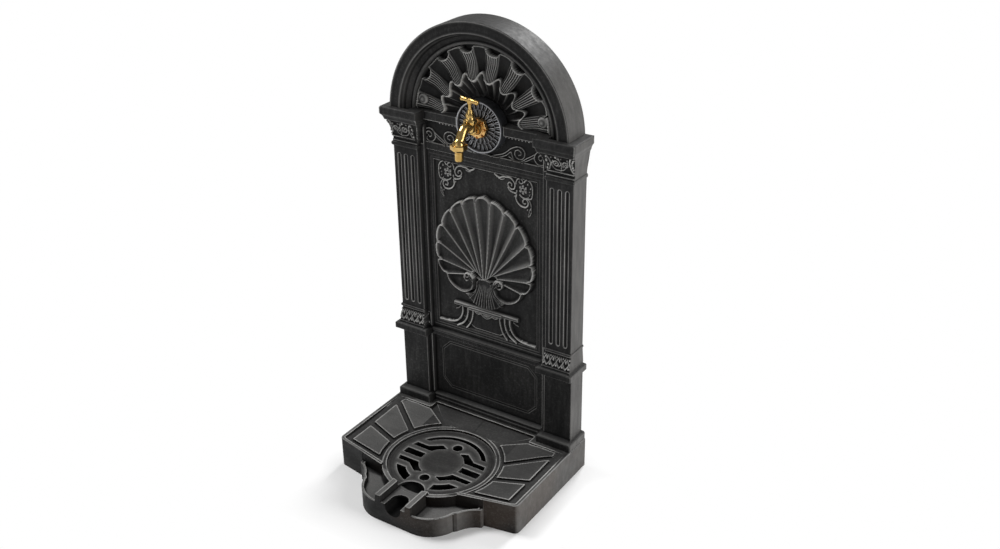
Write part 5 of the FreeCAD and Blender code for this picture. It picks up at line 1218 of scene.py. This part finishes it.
tapCast = tapCasting()
tapHandle = tapBar()
turned = {}
for name, row, axis, body, nodes in (("tapBonnet", "bonnet", "stem", "fountain", ("bonnet", "bonnet_seal")),
                                     ("tapGland", "gland", "stem", "fountain", ("gland_nut",)),
                                     ("tapUnion", "union", "outlet", "nut", ("union_nut",)),
                                     ("tapTail", "tail", "outlet", "tail", ("hose_tail",))):
    turned[name] = buildPiece(name, [spunPart(tapValues[row], tapValues[axis])], body, *nodes)
tapFlange = buildPiece("tapFlange", [flangePart()], "fountain", "tap_flange")
for piece in (*turned.values(), tapFlange):
    weld(piece.data)
    piece.data.set_sharp_from_angle(angle=math.radians(32))
brassPieces = (tapCast, tapHandle, *turned.values())
print("tap", sum(len(piece.data.polygons) for piece in brassPieces))


# materials
def newMaterial(name):
    material = bpy.data.materials.new(name)
    material.use_nodes = True
    tree = material.node_tree
    return material, tree, tree.nodes["Principled BSDF"]


def addNode(tree, kind, link=(), **settings):   # link holds (input, value or socket) pairs
    node = tree.nodes.new(kind)
    for key, value in settings.items():
        setattr(node, key, value)
    for key, value in link:
        if isinstance(value, bpy.types.NodeSocket):
            tree.links.new(value, node.inputs[key])
        else:
            node.inputs[key].default_value = value
    return node


def mixColours(tree, share, first, second):
    return addNode(tree, "ShaderNodeMix", [(0, share), (6, first), (7, second)], data_type="RGBA").outputs[2]


def scaled(tree, value, low, high, lowOut, highOut):   # maps low..high to lowOut..highOut and holds the ends
    links = [("Value", value), ("From Min", low), ("From Max", high), ("To Min", lowOut), ("To Max", highOut)]
    return addNode(tree, "ShaderNodeMapRange", links).outputs[0]


def vectorMath(tree, kind, *values, output=0):
    return addNode(tree, "ShaderNodeVectorMath", list(enumerate(values)), operation=kind).outputs[output]


def bumped(tree, surface, height, strength, distance):
    node = addNode(tree, "ShaderNodeBump", [("Strength", strength), ("Distance", distance),
                                            ("Height", height)])
    tree.links.new(node.outputs[0], surface.inputs["Normal"])


def noise(tree, place, scale, detail, **more):
    settings = [("Vector", place), ("Scale", scale), ("Detail", detail)] + list(more.items())
    return addNode(tree, "ShaderNodeTexNoise", settings).outputs[0]


def calculated(tree, kind, first, second):
    return addNode(tree, "ShaderNodeMath", [(0, first), (1, second)], operation=kind).outputs[0]


def brushedGroup():   # dry-brushed paint over a dark casting: worn edges and long faint strokes, with painted light on side and upward faces, painted highlights and painted shade in hollows
    group = bpy.data.node_groups.new("brushedCasting", "ShaderNodeTree")
    sockets = {
        "INPUT": {"Base": "Color", "Silver": "Color", "Side": "Color", "Stroke Scale": "Vector",
                  "Silver Amount": "Float", "Top Light Amount": "Float", "Stain": "Float"},
        "OUTPUT": {"Color": "Color", "Roughness": "Float", "Height": "Float"},
    }
    for side, names in sockets.items():
        for name, kind in names.items():
            group.interface.new_socket(name, in_out=side, socket_type="NodeSocket" + kind)
    start, end = addNode(group, "NodeGroupInput").outputs, addNode(group, "NodeGroupOutput")
    where = addNode(group, "ShaderNodeNewGeometry")
    place = addNode(group, "ShaderNodeTexCoord").outputs["Object"]
    stretched = vectorMath(group, "MULTIPLY", place, start["Stroke Scale"])
    strokes = noise(group, stretched, 1.0, 5.0, Roughness=0.6)
    cloud, grain = noise(group, place, 9.0, 4.0), noise(group, place, 900.0, 3.0)
    speckle = noise(group, place, 260.0, 6.0, Roughness=0.75)
    wearAndHighlight = addNode(group, "ShaderNodeAttribute", attribute_name="wearAndHighlight").outputs["Fac"]
    paintedShade = addNode(group, "ShaderNodeAttribute", attribute_name="paintedShade").outputs["Fac"]
    parts = addNode(group, "ShaderNodeSeparateXYZ", [(0, where.outputs["Normal"])])
    # painted light: faces turned to the sides, and upward faces by the top amount, get the lighter side grey,
    # which is partly brushed paint
    sideways = scaled(group, calculated(group, "ABSOLUTE", parts.outputs[0], 0.0), 0.55, 0.9, 0.0, 1.0)
    upward = calculated(group, "MULTIPLY", scaled(group, parts.outputs[2], 0.3, 0.95, 0.0, 1.0),
                        start["Top Light Amount"])
    litFaceShare = calculated(group, "MAXIMUM", sideways, upward)
    streak = scaled(group, strokes, 0.35, 0.72, 0.0, 1.0)
    colour = mixColours(group, scaled(group, strokes, 0.45, 0.8, 0.0, 0.03), start["Base"], start["Silver"])
    colour = mixColours(group, scaled(group, cloud, 0.4, 0.7, 0.0, 0.08), colour, start["Side"])
    sideShare = calculated(group, "MULTIPLY", litFaceShare, scaled(group, streak, 0.0, 1.0, 0.72, 1.0))
    colour = mixColours(group, sideShare, colour, start["Side"])
    patchy = calculated(group, "MULTIPLY", scaled(group, cloud, 0.3, 0.6, 0.55, 1.0),
                        scaled(group, grain, 0.35, 0.62, 0.6, 1.0))
    scuff = calculated(group, "MULTIPLY", scaled(group, speckle, 0.5, 0.72, 0.0, 0.07),
                       scaled(group, cloud, 0.35, 0.6, 0.3, 1.0))
    colour = mixColours(group, scuff, colour, start["Silver"])
    # silver where the mask asks for it: dry-brushed wear on edges, and painted highlight on some lit faces
    rubAndHighlight = calculated(group, "MULTIPLY", calculated(group, "MULTIPLY", wearAndHighlight, start["Silver Amount"]), patchy)
    colour = mixColours(group, rubAndHighlight, colour, start["Silver"])
    brown = addNode(group, "ShaderNodeRGB")
    brown.outputs[0].default_value = (0.085, 0.045, 0.02, 1)
    low = calculated(group, "MULTIPLY", scaled(group, parts.outputs[2], 0.1, 0.5, 1.0, 0.0), start["Stain"])
    stain = calculated(group, "MULTIPLY", scaled(group, cloud, 0.42, 0.66, 0.0, 1.0), low)
    colour = mixColours(group, stain, colour, brown.outputs[0])
    # painted shade: the shade mask darkens hollows, steps and recesses almost to black
    paintedShadeColour = (0.0015, 0.0015, 0.0016, 1)
    colour = mixColours(group, calculated(group, "MULTIPLY", paintedShade, 0.92), colour, paintedShadeColour)
    group.links.new(colour, end.inputs["Color"])
    group.links.new(scaled(group, strokes, 0.2, 0.8, 0.62, 0.42), end.inputs["Roughness"])
    height = calculated(group, "ADD", calculated(group, "MULTIPLY", grain, 0.35),
                        calculated(group, "MULTIPLY", strokes, 0.5))
    group.links.new(height, end.inputs["Height"])
    return group


def castingMaterial(name, group, values):
    material, tree, surface = newMaterial(name)
    node = addNode(tree, "ShaderNodeGroup", node_tree=group)
    for socket in node.inputs:
        socket.default_value = values[socket.name]
    tree.links.new(node.outputs["Color"], surface.inputs["Base Color"])
    tree.links.new(node.outputs["Roughness"], surface.inputs["Roughness"])
    bumped(tree, surface, node.outputs["Height"], 0.25, 0.0006)
    surface.inputs["Specular IOR Level"].default_value = values["sheen"]
    return material


# the side grey is partly brushed paint and partly painted light on side faces; the top amount paints light
# onto upward faces
castingValues = {
    "Base": (0.0072, 0.0072, 0.0075, 1), "Silver": (0.56, 0.555, 0.54, 1), "Side": (0.125, 0.122, 0.118, 1),
    "Stroke Scale": (120, 120, 20), "Silver Amount": 1.1, "Top Light Amount": 0.15, "Stain": 0.0, "sheen": 0.15,
}   # strokes run along the axis whose scale is small
casting = brushedGroup()
panelMaterial = castingMaterial("panelCasting", casting, castingValues)
trayChanges = {"Stroke Scale": (20, 110, 60), "Top Light Amount": 0.12, "Stain": 0.2}
grateChanges = {"Stroke Scale": (25, 110, 60), "Top Light Amount": 0.3}
rosetteChanges = {"Side": (0.05, 0.052, 0.058, 1), "Silver": (0.52, 0.53, 0.56, 1), "Silver Amount": 1.8}
trayMaterial = castingMaterial("trayCasting", casting, {**castingValues, **trayChanges})
grateMaterial = castingMaterial("grateCasting", casting, {**castingValues, **grateChanges})
rosetteMaterial = castingMaterial("rosetteCasting", casting, {**castingValues, **rosetteChanges})


def metalMaterial(name, colour, shade, roughness, scale):   # two tones in soft clouds, under a fine grain
    material, tree, surface = newMaterial(name)
    place = addNode(tree, "ShaderNodeTexCoord").outputs["Object"]
    cloud, fine = noise(tree, place, scale, 4.0), noise(tree, place, scale * 14, 2.0)
    tree.links.new(mixColours(tree, scaled(tree, cloud, 0.35, 0.65, 0.0, 1.0), colour, shade),
                   surface.inputs["Base Color"])
    tree.links.new(scaled(tree, cloud, 0.3, 0.7, roughness, roughness + 0.14), surface.inputs["Roughness"])
    bumped(tree, surface, fine, 0.2, 0.0003)
    surface.inputs["Metallic"].default_value = 1.0
    return material


def plainMaterial(name, colour, shade, roughness, scale):
    material = metalMaterial(name, colour, shade, roughness, scale)
    material.node_tree.nodes["Principled BSDF"].inputs["Metallic"].default_value = 0.0
    return material


brassMaterial = metalMaterial("polishedBrass", (0.70, 0.48, 0.18, 1), (0.46, 0.29, 0.085, 1), 0.17, 55)
copperMaterial = metalMaterial("flangeBrass", (0.80, 0.53, 0.22, 1), (0.55, 0.3, 0.1, 1), 0.2, 60)
steelMaterial = metalMaterial("platedSteel", (0.6, 0.6, 0.61, 1), (0.48, 0.48, 0.5, 1), 0.3, 60)
rubberMaterial = plainMaterial("blackRubber", (0.022, 0.022, 0.022, 1), (0.035, 0.035, 0.034, 1), 0.6, 60)
nylonMaterial = plainMaterial("blackNylon", (0.04, 0.04, 0.042, 1), (0.06, 0.06, 0.06, 1), 0.42, 60)
hoseMaterial = plainMaterial("hoseRubber", (0.05, 0.06, 0.05, 1), (0.08, 0.09, 0.075, 1), 0.5, 90)

pieceFinishes = [(backPanel, panelMaterial), (baseTray, trayMaterial), (drainGrate, grateMaterial),
                 (rosette, rosetteMaterial), (tapFlange, copperMaterial)]
for piece, material in pieceFinishes + [(piece, brassMaterial) for piece in brassPieces]:
    piece.data.materials.append(material)

nodeFinishes = {
    brassMaterial: ["tap_body", "bonnet", "gland_nut", "spindle", "jumper_valve", "tap_handle", "union_nut",
                    "hose_tail", "wall_elbow", "inlet_connector", "inlet_lock_nut"],
    copperMaterial: ["tap_flange"],
    steelMaterial: ["handle_pin", "panel_screws", "clip_screws", "upper_hose_clamp", "lower_hose_clamp"],
    rubberMaterial: ["panel_washer", "bonnet_seal", "gland_packing", "valve_washer", "union_washer"],
    nylonMaterial: ["hose_clip_1", "hose_clip_2", "hose_clip_3"],
    hoseMaterial: ["riser_hose"],
}
for material, names in nodeFinishes.items():
    for name in names:
        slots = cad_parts[name].data.materials
        if len(slots) == 0:
            slots.append(material)
        for i in range(len(slots)):
            slots[i] = material
print("materials made")


# floor, light and camera
stageValues = {
    "floor": (0.94, 0.94, 0.94, 1), "floorHalf": 14, "sky": 0.2, "shadowReach": 0.075,
    "lamps": {   # place, aim, size and power
        "key": ((-1.5, -0.2, 2.5), (0, 0, 0.4), (1.0, 1.0), 48),
        "side": ((2.4, 0.3, 1.3), (0.1, 0, 0.4), (1.2, 1.8), 29),
        "back": ((0.1, 2.3, 2.2), (0, 0, 0.3), (1.2, 1.0), 80),
        "fill": ((-0.6, -3.0, 1.3), (0, 0, 0.4), (2.4, 1.6), 16),
    },
}


def areaLight(name, place, aim, size, power):
    data = bpy.data.lights.new(name, "AREA")
    data.shape = "RECTANGLE"
    data.size, data.size_y = size
    data.energy = power
    lamp = bpy.data.objects.new(name, data)
    bpy.context.scene.collection.objects.link(lamp)
    lamp.location = place
    lamp.rotation_euler = (Vector(aim) - Vector(place)).to_track_quat("-Z", "Y").to_euler()


def floorPlane():   # white to the camera away from the object, and shaded near it
    mesh = bpy.data.meshes.new("floor")
    size = stageValues["floorHalf"]
    corners = [(-size, -size, 0), (size, -size, 0), (size, size, 0), (-size, size, 0)]
    mesh.from_pydata(corners, [], [(0, 1, 2, 3)])
    floor = bpy.data.objects.new("floor", mesh)
    bpy.context.scene.collection.objects.link(floor)
    material, tree, surface = newMaterial("paleFloor")
    surface.inputs["Base Color"].default_value = stageValues["floor"]
    surface.inputs["Roughness"].default_value = 0.9
    surface.inputs["Specular IOR Level"].default_value = 0.0
    white = addNode(tree, "ShaderNodeEmission", [("Color", (1, 1, 1, 1)), ("Strength", 1.0)])
    path = addNode(tree, "ShaderNodeLightPath")
    half = [(a - b) / 2 for a, b in zip(cadBox[1], cadBox[0])]
    place = addNode(tree, "ShaderNodeNewGeometry").outputs["Position"]
    beyond = vectorMath(tree, "SUBTRACT", vectorMath(tree, "ABSOLUTE", place), (half[0], half[1], 0))
    away = vectorMath(tree, "LENGTH", vectorMath(tree, "MAXIMUM", beyond, (0, 0, 0)), output="Value")
    far = scaled(tree, away, 0.0, stageValues["shadowReach"], 0.0, 1.0)
    seen = calculated(tree, "MAXIMUM", path.outputs["Is Camera Ray"], path.outputs["Is Glossy Ray"])
    share = calculated(tree, "MULTIPLY", seen, far)
    mix = addNode(tree, "ShaderNodeMixShader", [(0, share), (1, surface.outputs[0]), (2, white.outputs[0])])
    tree.links.new(mix.outputs[0], tree.nodes["Material Output"].inputs["Surface"])
    mesh.materials.append(material)


def whiteWorld():   # white to the camera, dimmer as a light
    world = bpy.data.worlds.new("paleRoom")
    world.use_nodes = True
    bpy.context.scene.world = world
    tree = world.node_tree
    background = tree.nodes["Background"]
    path = addNode(tree, "ShaderNodeLightPath")
    strength = scaled(tree, path.outputs["Is Camera Ray"], 0.0, 1.0, stageValues["sky"], 1.0)
    tree.links.new(strength, background.inputs["Strength"])
    background.inputs["Color"].default_value = (1, 1, 1, 1)


floorPlane()
whiteWorld()
for name, values in stageValues["lamps"].items():
    areaLight(name, *values)

# solved from the photograph's straight edges: angles in degrees, focal length and width in its pixels
cameraValues = {
    "azimuth": 33.26, "elevation": 26.96, "roll": -0.76, "place": (1.0193, -1.53824, 1.2779),
    "focal": 1164.27, "pictureWidth": 1000, "sensor": 36,
}
azimuth, elevation, roll = (math.radians(cameraValues[key]) for key in ("azimuth", "elevation", "roll"))
back = Vector((math.sin(azimuth) * math.cos(elevation), -math.cos(azimuth) * math.cos(elevation),
               math.sin(elevation)))
right = Vector((math.cos(azimuth), math.sin(azimuth), 0))
up = back.cross(right)
turnedRight = math.cos(roll) * right + math.sin(roll) * up
turnedUp = -math.sin(roll) * right + math.cos(roll) * up
cameraData = bpy.data.cameras.new("photoCamera")
cameraData.sensor_width = cameraValues["sensor"]
cameraData.lens = cameraValues["focal"] * cameraValues["sensor"] / cameraValues["pictureWidth"]
camera = bpy.data.objects.new("photoCamera", cameraData)
bpy.context.scene.collection.objects.link(camera)
axes = Matrix((turnedRight, turnedUp, back)).transposed().to_4x4()
cameraPlace = Vector(cameraValues["place"]) + Vector((0, wallDepth * millimetre, 0))   # given from the wall
camera.matrix_world = Matrix.Translation(cameraPlace) @ axes
bpy.context.scene.camera = camera
bpy.context.scene.view_settings.view_transform = "Standard"
print("floor, light and camera set")
